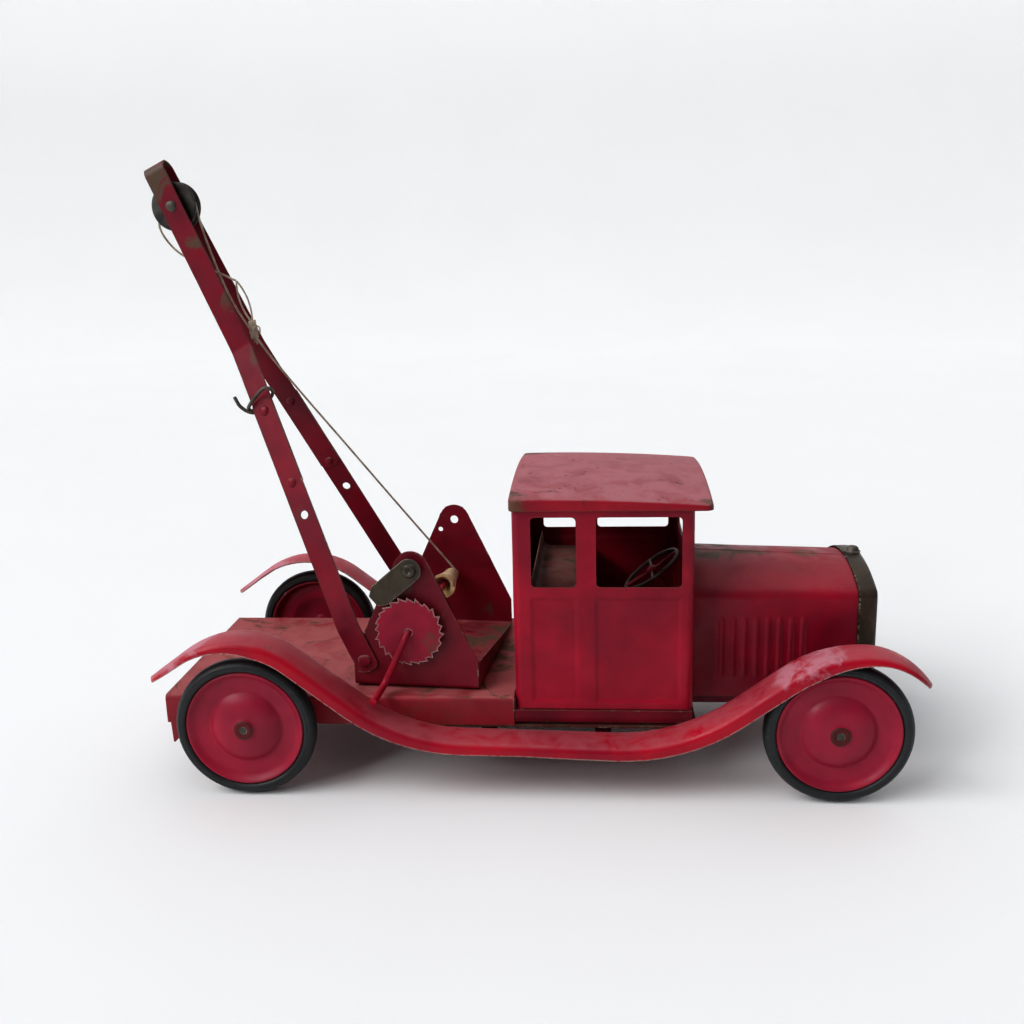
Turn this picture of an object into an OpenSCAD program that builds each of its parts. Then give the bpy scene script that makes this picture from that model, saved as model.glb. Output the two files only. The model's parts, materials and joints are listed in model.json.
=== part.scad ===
// Pressed steel toy breakdown lorry with a slewing, luffing crane boom and a ratchet winch.
// Drawn in vehicle stations: x = 0 at the rear axle, +x forward, +y left, z = 0 on the ground.
// The last step moves every node so that the origin is the bottom centre of the bounding box.

/* [Wheels and axles] */
// distance between the axles
wheelbase = 362.2; // [300:0.1:420]
// outer radius of the tyres
wheel_r = 44.5; // [38:0.5:50]
// middle plane of each wheel from the centre line
wheel_y = 93; // [85:0.5:100]
// width of each tyre
tyre_w = 13; // [8:0.5:18]
// radius of the pressed wheel disc
disc_r = 37.3; // [30:0.1:40]
// radius of the axles
axle_r = 2.4; // [1.5:0.1:4]

/* [Bodywork] */
// thickness of the sheet metal
sheet = 1.2; // [0.8:0.1:2]
// rear end of the bed
bed_rear = -59.2; // [-80:0.1:-40]
// height of the bed's top face
bed_z = 57; // [50:0.5:70]
// half width of the bed
bed_hw = 75.8; // [60:0.1:80]
// rear and front faces of the cab
cab_x = [167.1, 277.9]; // [150:0.1:300]
// half width of the cab walls
cab_hw = 73.6; // [60:0.1:80]
// height of the cab roof's crown
roof_z = 190; // [170:1:210]
// front end of the bonnet
bonnet_x = 380.8; // [360:0.1:400]
// half width of the bonnet
bonnet_hw = 50; // [40:0.5:60]
// height of the bonnet's ridge at the cab and at the radiator
ridge_z = [133, 128.5]; // [120:0.5:145]
// depth of the radiator shell, front to back
radiator_len = 11; // [8:0.5:16]

/* [Mudguards] */
// inner and outer edges of each mudguard strip
guard_y = [76.2, 101.4]; // [70:0.1:115]
// depth of the strip's outer skirt
skirt = 8; // [4:0.5:12]

/* [Crane turret] */
// station of the slewing axis
pivot_x = 108.5; // [100:0.1:120]
// slew angle at rest, counter-clockwise from above
slew = -5.1; // [-8:0.1:14]
// half length and half width of the turret
turret_size = [41, 62.6]; // [30:0.1:80]
// height of the winch shaft
winch_z = 97.2; // [90:0.1:100]
// winch shaft forward of the slewing axis
winch_u = -2; // [-8:0.1:8]
// radius of the ratchet wheel
ratchet_r = 23.4; // [18:0.1:26]
// teeth on the ratchet wheel
ratchet_teeth = 24; // [16:1:30]

/* [Boom] */
// boom pivot, forward of the slewing axis and above the ground
boom_pivot = [-33, 75]; // [-40:0.5:90]
// lean of the boom behind vertical at rest
boom_lean = 24.5; // [16:0.5:60]
// width of the boom's straps
strap_w = 15; // [10:0.5:20]
// length from the boom pivot to the pulley pin
boom_len = 315.4; // [250:0.1:330]
// outer radius of the pulley
pulley_r = 15.6; // [10:0.1:18]

/* [Hidden] */
$fn = 48;
gap = 0.05;                      // radial running clearance
bed_under = bed_z - sheet;
floor_z = 48.9;                  // cab floor, part of the bed pressing
frame_z = floor_z - sheet;       // top of the frame channel
frame_hw = 32;
frame_x = [-50, 391];
flange_z = 40;                   // lower edge of the bed's side flanges
hub_out = 7.4;                   // outer end of a wheel hub, from the wheel's middle plane
roof_x = [165.7, 288.6];
roof_hw = 76;
lip_z = 176;                     // lower edge of the roof's lip
cab_top = 178.2;                 // upper edge of the cab walls, inside the lip
crease_z = 118;                  // bonnet shoulder crease
cheek_shoulder = 77;
cheek_top = [0, 137.5];          // centre of the cheek's rounded top
cheek_top_r = 11;
turret_z = bed_z + 1;            // underside of the turret's floor
cheek_in = turret_size[1] - sheet;
shaft_r = 2.25;
arm_r = 37.3;                    // winch shaft to crank handle
leg_v = turret_size[1] + 0.2 + sheet / 2;
leg_tilt = 15;                   // lean of the boom legs towards each other
arc_n = 12;

// [x, z, heading] at each point of a bent line; a bend is [radius, turn], a straight [length, 0]
function walk(segs, p, h, i = 0) =
    i == len(segs) ? [[p[0], p[1], h]] :
    let (r = segs[i][0], turn = segs[i][1], s = sign(turn), n = turn == 0 ? 1 : arc_n)
    let (q = turn == 0 ? p + r * [cos(h), sin(h)] :
        p + r * s * [sin(h + turn) - sin(h), cos(h) - cos(h + turn)])
    concat(
        [for (k = [0 : n - 1]) let (a = h + turn * k / n)
            turn == 0 ? [p[0], p[1], h] :
            [p[0] + r * s * (sin(a) - sin(h)), p[1] + r * s * (cos(h) - cos(a)), a]],
        walk(segs, q, h + turn, i + 1));

// a band between two offsets to the right of a bent line
function band(w, d0, d1) = concat(
    [for (q = w) [q[0] + d0 * sin(q[2]), q[1] - d0 * cos(q[2])]],
    [for (k = [len(w) - 1 : -1 : 0]) let (q = w[k])
        [q[0] + d1 * sin(q[2]), q[1] - d1 * cos(q[2])]]);

// crest of the mudguard strip, from the rear tip over both arches
guard_segs = [[28.6, 0], [57, -74], [47.6, 0], [110, 36.5], [94, 0], [119, 37.5],
    [37, 0], [78, -36], [46, -60]];
guard_start = [-60, 74];
guard_walk = walk(guard_segs, guard_start, 36);
guard_end = guard_walk[len(guard_walk) - 1];
board_rear = guard_walk[2 + arc_n + arc_n];      // start of the flat running board

// boom leg and strap, in the plane of the boom: [sideways, along]
leg_foot = 7.5;
leg_rise = 24;                   // straight part beside the cheek, above the pivot
bend_r = 10;
leg_len = 158;
leg_walk = walk([[leg_foot + leg_rise, 0], [bend_r, leg_tilt], [leg_len, 0]],
    [leg_v, -leg_foot], 90);
leg_end = leg_walk[len(leg_walk) - 1];
overlap = 64;                    // length over which the strap lies inside the leg
lap = sheet + 0.02;              // between the middles of the leg and the strap inside it
strap_start = [leg_end[0] + overlap * sin(leg_tilt) - lap * cos(leg_tilt),
    leg_end[1] - overlap * cos(leg_tilt) - lap * sin(leg_tilt)];
knee = 100;                      // strap's lower end to its knee
knee_turn = -12.7;
upper_len = 121;
upper_tilt = leg_tilt + knee_turn;
strap_walk0 = walk([[knee, 0], [15, knee_turn], [upper_len, 0]], strap_start, 90 + leg_tilt);
loop_at = strap_walk0[len(strap_walk0) - 1];
loop_r = loop_at[0] / cos(upper_tilt);
strap_walk = concat([for (k = [0 : len(strap_walk0) - 2]) strap_walk0[k]],
    walk([[loop_r, 90 - upper_tilt]], [loop_at[0], loop_at[1]], 90 + upper_tilt));
loop_centre = loop_at[1] - loop_r * sin(upper_tilt);
rivets_at = [8.2, 59];          // boom rivets, measured down from the leg's upper end

// overall length, from the mudguards' front tips to the slewed boom's tip
tip_r = loop_r + sheet / 2;
tip_u = boom_pivot[0] - loop_centre * sin(boom_lean) - strap_w / 2 * cos(boom_lean);
tip_swing = norm([cos(slew) * sin(boom_lean), sin(slew)]);
tip_x = pivot_x + cos(slew) * tip_u - tip_r * tip_swing;
mid_x = (guard_end[0] + tip_x) / 2;

red = [0.52, 0.05, 0.11];
dark_red = [0.4, 0.04, 0.08];
rubber = [0.09, 0.1, 0.105];
steel = [0.27, 0.25, 0.22];
olive = [0.23, 0.2, 0.16];
tan_cord = [0.72, 0.58, 0.4];

module placed() {
    translate([-mid_x, 0, 0])
        children();
}

// u forward, v left, z up, about the slewing axis
module on_turret() {
    translate([pivot_x, 0, 0])
        rotate([0, 0, slew])
            children();
}

// x across the strap's width, y sideways, z along the boom from its pivot
module on_boom() {
    on_turret()
        translate([boom_pivot[0], 0, boom_pivot[1]])
            rotate([0, -boom_lean, 0])
                children();
}

module both_sides() {
    for (s = [0, 1])
        mirror([0, s, 0])
            children();
}

// a flat outline in x and z, as thick as from y0 to y1
module slab_y(y0, y1) {
    translate([0, y1, 0])
        rotate([90, 0, 0])
            linear_extrude(y1 - y0)
                children();
}

// a flat outline in y and z, as thick as from x0 to x1
module slab_x(x0, x1) {
    translate([x0, 0, 0])
        rotate([90, 0, 90])
            linear_extrude(x1 - x0)
                children();
}

module round_rect(size, r) {
    translate([r, 0])
        square([size[0] - 2 * r, size[1]]);
    translate([0, r])
        square([size[0], size[1] - 2 * r]);
    for (x = [r, size[0] - r], y = [r, size[1] - r])
        translate([x, y])
            circle(r);
}

// a plain cylinder along y
module rod_y(y0, y1, r) {
    translate([0, y1, 0])
        rotate([90, 0, 0])
            cylinder(h = y1 - y0, r = r);
}

// a round bar between two points
module bar(p, q, r) {
    d = q - p;
    translate(p)
        rotate([0, acos(d[2] / norm(d)), atan2(d[1], d[0])])
            cylinder(h = norm(d), r = r);
}

// domed rivet head standing on z = 0
module dome(r, h) {
    rotate_extrude()
        polygon([[0, 0], [r, 0], [r * 0.92, h * 0.45], [r * 0.65, h * 0.85], [0, h]]);
}

// ---- frame and bed ----

module frame_channel() {
    color(dark_red)
        placed()
            difference() {
                slab_x(frame_x[0], frame_x[1])
                    difference() {
                        translate([-frame_hw, 36])
                            square([2 * frame_hw, frame_z - 36]);
                        translate([sheet - frame_hw, 35])
                            square([2 * (frame_hw - sheet), frame_z - sheet - 35]);
                    }
                for (x = [0, wheelbase])
                    translate([x, 0, wheel_r])
                        rod_y(-50, 50, axle_r + gap);
            }
}

module bed_side(x0, x1, top) {
    translate([x0, -bed_hw, flange_z])
        cube([x1 - x0, sheet, top - flange_z]);
}

module bed() {
    color(red)
        placed() {
            difference() {
                union() {
                    translate([bed_rear, -bed_hw, bed_under])
                        cube([cab_x[0] - 0.1 - bed_rear, 2 * bed_hw, sheet]);
                    both_sides()
                        bed_side(bed_rear, cab_x[0] - 0.1, bed_z);
                    // tail flange
                    slab_x(bed_rear, bed_rear + sheet)
                        translate([-bed_hw, 38])
                            square([2 * bed_hw, bed_z - 38]);
                    // pointed lug at each rear corner
                    for (s = [-1, 1])
                        slab_y(s * (bed_hw - 1.6) - 0.6, s * (bed_hw - 1.6) + 0.6)
                            polygon([[bed_rear + 1.2, 50], [bed_rear + 2.2, 38],
                                [bed_rear + 2.8, 24.5], [bed_rear + 17, 40],
                                [bed_rear + 17, 50]]);
                    // riser and floor under the cab
                    translate([cab_x[0] - 0.1 - sheet, -bed_hw, frame_z])
                        cube([sheet, 2 * bed_hw, bed_z - frame_z]);
                    translate([cab_x[0] - 0.1 - sheet, -bed_hw, frame_z])
                        cube([cab_x[1] + 1.3 - cab_x[0], 2 * bed_hw, sheet]);
                    both_sides()
                        bed_side(cab_x[0] - 0.2, cab_x[1], floor_z);
                }
                translate([0, 0, wheel_r])
                    rod_y(-90, 90, axle_r + gap);
                translate([pivot_x, 0, bed_under - 1])
                    cylinder(h = 4, r = 4 + gap);
            }
        }
}

module bed_bearers() {
    color(dark_red)
        placed()
            for (x = [-36, 52, 150])
                translate([x, 0, 0])
                    slab_y(-66, 66)
                        difference() {
                            translate([-6, frame_z])
                                square([12, bed_under - frame_z]);
                            translate([-6 + sheet, frame_z - 1])
                                square([12 - 2 * sheet, bed_under - frame_z + 1 - sheet]);
                        }
}

// ---- mudguards ----

function board_z(x) = board_rear[1] + (x - board_rear[0]) * tan(board_rear[2]);

module guard() {
    intersection() {
        union() {
            slab_y(guard_y[0], guard_y[1])
                polygon(band(guard_walk, 0, sheet));
            slab_y(guard_y[1] - sheet, guard_y[1])
                polygon(band(guard_walk, 0, skirt));
        }
        guard_hw = (guard_y[1] - guard_y[0]) / 2;
        translate([guard_start[0], guard_y[0], 0])
            linear_extrude(150)
                round_rect([guard_end[0] - guard_start[0], 2 * guard_hw], guard_hw - 0.01);
    }
}

module guard_left() {
    color(red)
        placed()
            guard();
}

module guard_right() {
    color(red)
        placed()
            mirror([0, 1, 0])
                guard();
}

module guard_ties() {
    color(dark_red)
        placed()
            for (x = [150, 222]) {
                under = board_z(x + 5) - sheet - 0.2;
                translate([x - 5, -97, under - 1.6])
                    cube([10, 194, 1.6]);
                both_sides()
                    translate([x - 3, frame_hw - 6, under - 0.1])
                        cube([6, 6, 36 - under + 0.1]);
            }
}

// flat sheets that close the gap between the frame and the running boards
module aprons() {
    color(dark_red)
        placed()
            both_sides()
                translate([70, frame_hw + gap, 37.4])
                    cube([210, guard_y[0] - frame_hw - 2 * gap, sheet]);
}

// ---- cab ----

// a window through a side wall
module side_window(x, z, w, h) {
    slab_y(-90, 90)
        translate([x, z])
            round_rect([w, h], 3);
}

module panel_bead(x, z, w, h) {
    slab_y(cab_hw - 0.2, cab_hw + 0.5)
        difference() {
            translate([x, z])
                round_rect([w, h], 3);
            translate([x + 1.6, z + 1.6])
                round_rect([w - 3.2, h - 3.2], 2);
        }
}

module cab_plan(inset) {
    translate([cab_x[0] + inset, inset - cab_hw])
        round_rect([cab_x[1] - cab_x[0] - 2 * inset, 2 * (cab_hw - inset)], 5 - inset);
}

module cab_shell() {
    color(red)
        placed()
            difference() {
                union() {
                    translate([0, 0, floor_z])
                        linear_extrude(cab_top - floor_z)
                            cab_plan(0);
                    both_sides() {
                        panel_bead(178.6, 54, 27.6, 67);
                        panel_bead(218.2, 54, 51.2, 67);
                    }
                }
                translate([0, 0, floor_z - 1])
                    linear_extrude(140)
                        cab_plan(sheet);
                side_window(178.9, 128.4, 27.4, 44);
                side_window(218.5, 128.4, 51.6, 44);
                slab_x(cab_x[0] - 5, cab_x[0] + 9)
                    translate([-38, 132])
                        round_rect([76, 36], 3);
                slab_x(cab_x[1] - 9, cab_x[1] + 5)
                    translate([-62, 135])
                        round_rect([124, 36], 3);
            }
}

module roof_solid(inset) {
    crown_y = 416;
    crown_x = 480;
    intersection() {
        translate([roof_x[0] + inset, inset - roof_hw, lip_z])
            linear_extrude(30)
                round_rect([roof_x[1] - roof_x[0] - 2 * inset, 2 * (roof_hw - inset)], 7 - inset);
        translate([0, 0, roof_z - inset - crown_y])
            rotate([0, 90, 0])
                cylinder(h = 700, r = crown_y, $fn = 180);
        translate([(roof_x[0] + roof_x[1]) / 2 - 6, 200, roof_z - inset - crown_x])
            rotate([90, 0, 0])
                cylinder(h = 400, r = crown_x, $fn = 180);
    }
}

module cab_roof() {
    color(red)
        placed()
            difference() {
                roof_solid(0);
                translate([0, 0, -0.5])
                    roof_solid(sheet);
            }
}

// bench seat: one sheet folded from the floor over the cushion and up the back
seat_walk = walk([[62, 0], [5, 88], [26, 0], [5, -80], [7, 0]], [214, floor_z + 0.05], 90);

module seat() {
    color([0.3, 0.2, 0.13])
        placed()
            slab_y(-66, 66)
                polygon(band(seat_walk, 0, sheet));
}

steer_at = [254.9, 0, 117.8];
steer_tilt = 35.6;
steer_r = 21;

module on_column() {
    translate(steer_at)
        rotate([0, -steer_tilt, 0])
            children();
}

module steering_column() {
    color(red)
        placed()
            intersection() {
                on_column()
                    translate([0, 0, -70])
                        cylinder(h = 68.5, r = 3);
                translate([200, -20, 50])
                    cube([cab_x[1] - sheet - 200 - 0.05, 40, 90]);
            }
}

module steering_wheel() {
    color(steel)
        placed()
            on_column() {
                rotate_extrude()
                    translate([steer_r, 0])
                        circle(1.3, $fn = 24);
                translate([0, 0, -1.4])
                    cylinder(h = 3.2, r = 4);
                for (k = [0 : 2])
                    rotate([0, 0, 30 + k * 120])
                        translate([3, 0, 0])
                            rotate([0, 90, 0])
                                cylinder(h = steer_r - 3, r = 1);
            }
}

// ---- bonnet and radiator ----

// half-arch outline across the bonnet: straight sides, then a low arch above the crease
function arch(hw, z0, crease, top, n = 14) = concat(
    [[-hw, z0]],
    [for (k = [0 : n]) let (y = -hw + 2 * hw * k / n)
        [y, crease + (top - crease) * (1 - pow(abs(y / hw), 2.1))]],
    [[hw, z0]]);

module bonnet_solid(inset, z0) {
    hull() {
        slab_x(cab_x[1] + 0.1 - (inset > 0 ? 1 : 0), cab_x[1] + 0.2)
            polygon(arch(bonnet_hw - inset, z0, crease_z - inset, ridge_z[0] - inset));
        slab_x(bonnet_x - 0.2, bonnet_x - 0.1 + (inset > 0 ? 1 : 0))
            polygon(arch(bonnet_hw - inset, z0, crease_z - inset, ridge_z[1] - inset));
    }
}

module bonnet() {
    louvres = 8;
    color(red)
        placed() {
            difference() {
                bonnet_solid(0, floor_z);
                bonnet_solid(sheet, floor_z - 5);
            }
            both_sides() {
                translate([cab_x[1] + 0.2, frame_hw - 6, floor_z - sheet + 0.05])
                    cube([bonnet_x - cab_x[1] - 0.4, bonnet_hw - frame_hw + 6, sheet]);
                for (k = [0 : louvres - 1])
                    translate([296 + k * 7.2, bonnet_hw - 0.3, 62])
                        cube([2.4, 1.1, 39]);
            }
        }
}

module radiator_shell() {
    color(olive)
        placed()
            slab_x(bonnet_x, bonnet_x + radiator_len)
                difference() {
                    polygon(arch(bonnet_hw + 1, floor_z, crease_z, ridge_z[1] + 1));
                    polygon(arch(bonnet_hw - 6, floor_z + 8, crease_z - 7, ridge_z[1] - 7));
                }
}

module radiator_grille() {
    bars = 15;
    color(steel)
        placed() {
            slab_x(bonnet_x + 3, bonnet_x + 4)
                polygon(arch(bonnet_hw - 6.05, floor_z + 8.05, crease_z - 7.05, ridge_z[1] - 7.05));
            for (k = [1 : bars]) {
                y = -44 + 88 * k / (bars + 1);
                translate([bonnet_x + 3.9, y - 0.7, floor_z + 9])
                    cube([2, 1.4, crease_z - floor_z - 17]);
            }
        }
}

module radiator_cap() {
    color(steel)
        placed()
            translate([bonnet_x + radiator_len / 2, 0, ridge_z[1] + 1.02]) {
                cylinder(h = 1.4, r = 5.2);
                translate([0, 0, 1.4])
                    dome(4.2, 3);
            }
}

// ---- wheels ----

module axle(x) {
    translate([x, 0, wheel_r])
        rod_y(-wheel_y - hub_out - 0.6, wheel_y + hub_out + 0.6, axle_r);
}

module front_axle() {
    color(steel)
        placed()
            axle(wheelbase);
}

module rear_axle() {
    color(steel)
        placed()
            axle(0);
}

module spacer(x, y0) {
    translate([x, 0, wheel_r])
        difference() {
            rod_y(y0, wheel_y - 6.4, 3.1);
            rod_y(y0 - 1, wheel_y, axle_r + gap);
        }
}

module axle_spacers() {
    color(steel)
        placed()
            both_sides() {
                spacer(wheelbase, frame_hw + gap);
                spacer(0, bed_hw + gap);
            }
}

module hub_caps() {
    color(olive)
        placed()
            for (x = [0, wheelbase])
                both_sides()
                    translate([x, wheel_y + hub_out + gap, wheel_r])
                        rotate([-90, 0, 0])
                            difference() {
                                dome(6.2, 0.9);
                                translate([0, 0, -1])
                                    cylinder(h = 1.6, r = axle_r + 0.01);
                            }
}

// axis along z, outer face up, middle plane at z = 0
module wheel_disc() {
    rotate_extrude()
        polygon([[axle_r + gap, -6.3], [5, -6.3], [5, 5.4], [7, 5.7], [12, 5.3], [17, 3.9],
            [21.3, 1], [23.5, 0.4], [32, 1.2], [36.1, 4], [36.1, -6], [disc_r - 0.02, -6],
            [disc_r - 0.02, 5.6], [36.3, 5.6], [32, 2.4], [23.5, 1.6], [21.7, 2.2], [17.4, 5.1],
            [12, 6.5], [7.4, 6.9], [6.6, hub_out], [axle_r + gap, hub_out]]);
}

module tyre() {
    half = tyre_w / 2;
    rotate_extrude()
        polygon([[disc_r, -half], [41, -half], [43.6, 1.5 - half], [wheel_r, 3.5 - half],
            [wheel_r, half - 3.5], [43.6, half - 1.5], [41, half], [disc_r, half]]);
}

module at_wheel(x, side) {
    placed()
        translate([x, side * wheel_y, wheel_r])
            rotate([-side * 90, 0, 0])
                children();
}

module wheel_front_right() {
    color(red)
        at_wheel(wheelbase, -1)
            wheel_disc();
}

module wheel_front_left() {
    color(red)
        at_wheel(wheelbase, 1)
            wheel_disc();
}

module wheel_rear_right() {
    color(red)
        at_wheel(0, -1)
            wheel_disc();
}

module wheel_rear_left() {
    color(red)
        at_wheel(0, 1)
            wheel_disc();
}

module tyre_front_right() {
    color(rubber)
        at_wheel(wheelbase, -1)
            tyre();
}

module tyre_front_left() {
    color(rubber)
        at_wheel(wheelbase, 1)
            tyre();
}

module tyre_rear_right() {
    color(rubber)
        at_wheel(0, -1)
            tyre();
}

module tyre_rear_left() {
    color(rubber)
        at_wheel(0, 1)
            tyre();
}

// ---- turret ----

module turntable_washer() {
    color(steel)
        placed()
            translate([pivot_x, 0, bed_z + 0.02])
                difference() {
                    cylinder(h = turret_z - bed_z - 0.04, r = 22);
                    translate([0, 0, -1])
                        cylinder(h = 4, r = 4 + gap);
                }
}

module turntable_rivet() {
    color(steel)
        placed()
            translate([pivot_x, 0, 0]) {
                translate([0, 0, bed_under - 2])
                    cylinder(h = turret_z + sheet - bed_under + 3, r = 4);
                translate([0, 0, turret_z + sheet + 0.02])
                    dome(8.5, 2.6);
                translate([0, 0, bed_under - 0.02])
                    mirror([0, 0, 1])
                        dome(8.5, 2.4);
            }
}

// the point where a line from the shoulder touches the rounded top
function tangent_at(p, c, r) =
    let (d = c - p, a = atan2(-d[1], -d[0]) + acos(r / norm(d)))
    c + r * [cos(a), sin(a)];

module cheek_outline() {
    t = tangent_at([turret_size[0], cheek_shoulder], cheek_top, cheek_top_r);
    polygon([[-turret_size[0], turret_z], [turret_size[0], turret_z],
        [turret_size[0], cheek_shoulder], t, cheek_top, [-t[0], t[1]],
        [-turret_size[0], cheek_shoulder]]);
    translate(cheek_top)
        circle(cheek_top_r);
}

module turret_frame() {
    hw = turret_size[1];
    color(red)
        placed()
            on_turret()
                difference() {
                    union() {
                        translate([-turret_size[0], -hw, turret_z])
                            cube([2 * turret_size[0], 2 * hw, sheet]);
                        slab_y(cheek_in, hw)
                            cheek_outline();
                        slab_y(-hw, -cheek_in)
                            cheek_outline();
                        slab_x(turret_size[0] - sheet, turret_size[0])
                            polygon([[-hw, turret_z], [hw, turret_z], [hw, turret_z + 3],
                                [-hw, cheek_shoulder]]);
                    }
                    translate([0, 0, turret_z - 1])
                        cylinder(h = 4, r = 4 + gap);
                    translate([winch_u, 0, winch_z])
                        rod_y(-90, 90, shaft_r + gap);
                    translate([cheek_top[0], 0, cheek_top[1]])
                        rod_y(-90, 90, 3);
                    translate([-10.5, 0, 130])
                        rod_y(-20, 90, 1.8);
                    translate([boom_pivot[0], 0, boom_pivot[1]])
                        rod_y(-90, 90, 2 + gap);
                }
}

plate_t = 1.5;                           // thickness of the pawl and the ratchet wheel
ratchet_v = -turret_size[1] - 2.4;       // inner face of the ratchet wheel
pawl_v = ratchet_v - plate_t - 0.1;      // inner face of the pawl

module pawl_rivet() {
    color(steel)
        placed()
            on_turret()
                translate([cheek_top[0], 0, cheek_top[1]]) {
                    rod_y(pawl_v - plate_t - 0.5, -cheek_in + 1, 2.94);
                    // spacer between cheek and pawl
                    rod_y(pawl_v + gap, -turret_size[1] - gap, 5);
                    translate([0, pawl_v - plate_t - gap, 0])
                        rotate([90, 0, 0])
                            dome(4.6, 1.8);
                    translate([0, gap - cheek_in, 0])
                        rotate([-90, 0, 0])
                            dome(5, 1.6);
                }
}

module boom_pivots() {
    color(red)
        placed()
            on_turret()
                both_sides()
                    translate([boom_pivot[0], 0, boom_pivot[1]]) {
                        rod_y(cheek_in - 1, leg_v + sheet / 2 + 1, 2);
                        translate([0, leg_v + sheet / 2 + gap, 0])
                            rotate([-90, 0, 0])
                                dome(4.6, 1.7);
                        translate([0, cheek_in - gap, 0])
                            rotate([90, 0, 0])
                                dome(4, 1.4);
                    }
}

// ---- winch ----

crank_dir = [-0.43, -0.903];             // crank arm's direction at rest, in u and z
arm_v = -72.4;
handle_v = -94;

module winch_crank() {
    elbow = [crank_dir[0] * arm_r, arm_v, crank_dir[1] * arm_r];
    tip = [crank_dir[0] * (arm_r + 3.6), handle_v, crank_dir[1] * (arm_r + 3.6)];
    color(red)
        placed()
            on_turret()
                translate([winch_u, 0, winch_z]) {
                    rod_y(arm_v, 67, shaft_r);
                    bar([0, arm_v, 0], elbow, 2.1);
                    bar(elbow, tip, 2.1);
                    translate([0, arm_v, 0])
                        sphere(shaft_r + 0.35, $fn = 32);
                    translate(elbow)
                        sphere(2.35, $fn = 32);
                }
}

module ratchet_outline() {
    pitch = 360 / ratchet_teeth;
    root = ratchet_r - 3.1;
    polygon([for (k = [0 : ratchet_teeth - 1], j = [0, 1])
        let (a = k * pitch + j * pitch * 0.12, r = j == 0 ? ratchet_r : root)
        r * [cos(a), sin(a)]]);
}

module ratchet_wheel() {
    color(red)
        placed()
            on_turret()
                translate([winch_u, 0, winch_z])
                    difference() {
                        union() {
                            slab_y(ratchet_v - plate_t, ratchet_v)
                                ratchet_outline();
                            rod_y(ratchet_v, -turret_size[1] - 0.2, 6);
                            rod_y(ratchet_v - plate_t - 1.6, ratchet_v - plate_t, 5);
                        }
                        rod_y(-90, 0, shaft_r + 0.01);
                    }
}

coil_v = [26, 57];
coil_r = [9.2, 5];

module cord_coil() {
    color(tan_cord)
        placed()
            on_turret()
                translate([winch_u, coil_v[1], winch_z])
                    rotate([90, 0, 0])
                        difference() {
                            cylinder(h = coil_v[1] - coil_v[0], r1 = coil_r[1], r2 = coil_r[0]);
                            translate([0, 0, -1])
                                cylinder(h = 60, r = shaft_r + 0.01);
                            translate([0, 0, coil_v[1] - coil_v[0] - 9])
                                cylinder(h = 10, r1 = shaft_r + 0.5, r2 = coil_r[0] - 2.4);
                        }
}

module winch_collar() {
    color(steel)
        placed()
            on_turret()
                translate([winch_u, 0, winch_z])
                    difference() {
                        rod_y(turret_size[1] + 0.2, turret_size[1] + 2.6, 4.6);
                        rod_y(0, 90, shaft_r + 0.01);
                    }
}

module pawl() {
    reach = 31.8;
    half = 7.65;
    color(olive)
        placed()
            on_turret()
                translate([cheek_top[0], 0, cheek_top[1]])
                    rotate([0, 139.5, 0])
                        slab_y(pawl_v - plate_t, pawl_v)
                            difference() {
                                union() {
                                    circle(half);
                                    polygon([[0, -half], [reach - 5.5, -half],
                                        [reach, -4], [reach, 4], [reach - 5.5, half],
                                        [0, half]]);
                                }
                                circle(3 + 0.02);
                            }
}

// ---- boom ----

// one side's sheet, cut to a strap with a rounded end
module boom_band(w, start, finish) {
    intersection() {
        slab_x(-strap_w / 2, strap_w / 2)
            polygon(band(w, -sheet / 2, sheet / 2));
        slab_y(0, 80)
            union() {
                translate([-strap_w / 2, start + strap_w / 2])
                    square([strap_w, finish - start - strap_w]);
                for (z = [start + strap_w / 2, finish - strap_w / 2])
                    translate([0, z])
                        circle(strap_w / 2);
            }
    }
}

leg_hole_s = 100;                        // spare hole's distance above the boom pivot

// a hole square to the leaning part of the leg, a distance below the leg's upper end
module across_leg(down, r, len) {
    translate([0, leg_end[0] + down * sin(leg_tilt), leg_end[1] - down * cos(leg_tilt)])
        rotate([leg_tilt - 90, 0, 0])
            translate([0, 0, -len / 2])
                cylinder(h = len, r = r);
}

hole_down = (leg_end[1] - leg_hole_s) / cos(leg_tilt);

module boom_leg() {
    difference() {
        boom_band(leg_walk, -leg_foot, leg_end[1] + 0.1);
        rod_y(0, 90, 2 + gap);
        across_leg(hole_down, 2.8, 12);
        for (d = rivets_at)
            across_leg(d, 1.8, 12);
    }
}

module boom_leg_left() {
    color(red)
        placed()
            on_boom()
                boom_leg();
}

module boom_leg_right() {
    color(red)
        placed()
            on_boom()
                mirror([0, 1, 0])
                    boom_leg();
}

module boom_strap() {
    color(red)
        placed()
            on_boom()
                difference() {
                    both_sides()
                        slab_x(-strap_w / 2, strap_w / 2)
                            polygon(band(strap_walk, -sheet / 2, sheet / 2));
                    translate([0, 0, boom_len])
                        rod_y(-20, 20, 2);
                    both_sides()
                        for (d = rivets_at)
                            across_leg(d, 1.8, 12);
                }
}

module boom_rivets() {
    color(red)
        placed()
            on_boom()
                both_sides()
                    for (d = rivets_at)
                        translate([0, leg_end[0] + d * sin(leg_tilt),
                            leg_end[1] - d * cos(leg_tilt)])
                            rotate([leg_tilt - 90, 0, 0]) {
                                translate([0, 0, -sheet * 1.5 - 0.5])
                                    cylinder(h = 2 * sheet + 1, r = 1.77);
                                translate([0, 0, sheet / 2 + 0.02])
                                    dome(3.4, 1.5);
                                translate([0, 0, -sheet * 1.5 - 0.02])
                                    mirror([0, 0, 1])
                                        dome(3, 1.2);
                            }
}

pin_half = 8.2;

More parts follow.
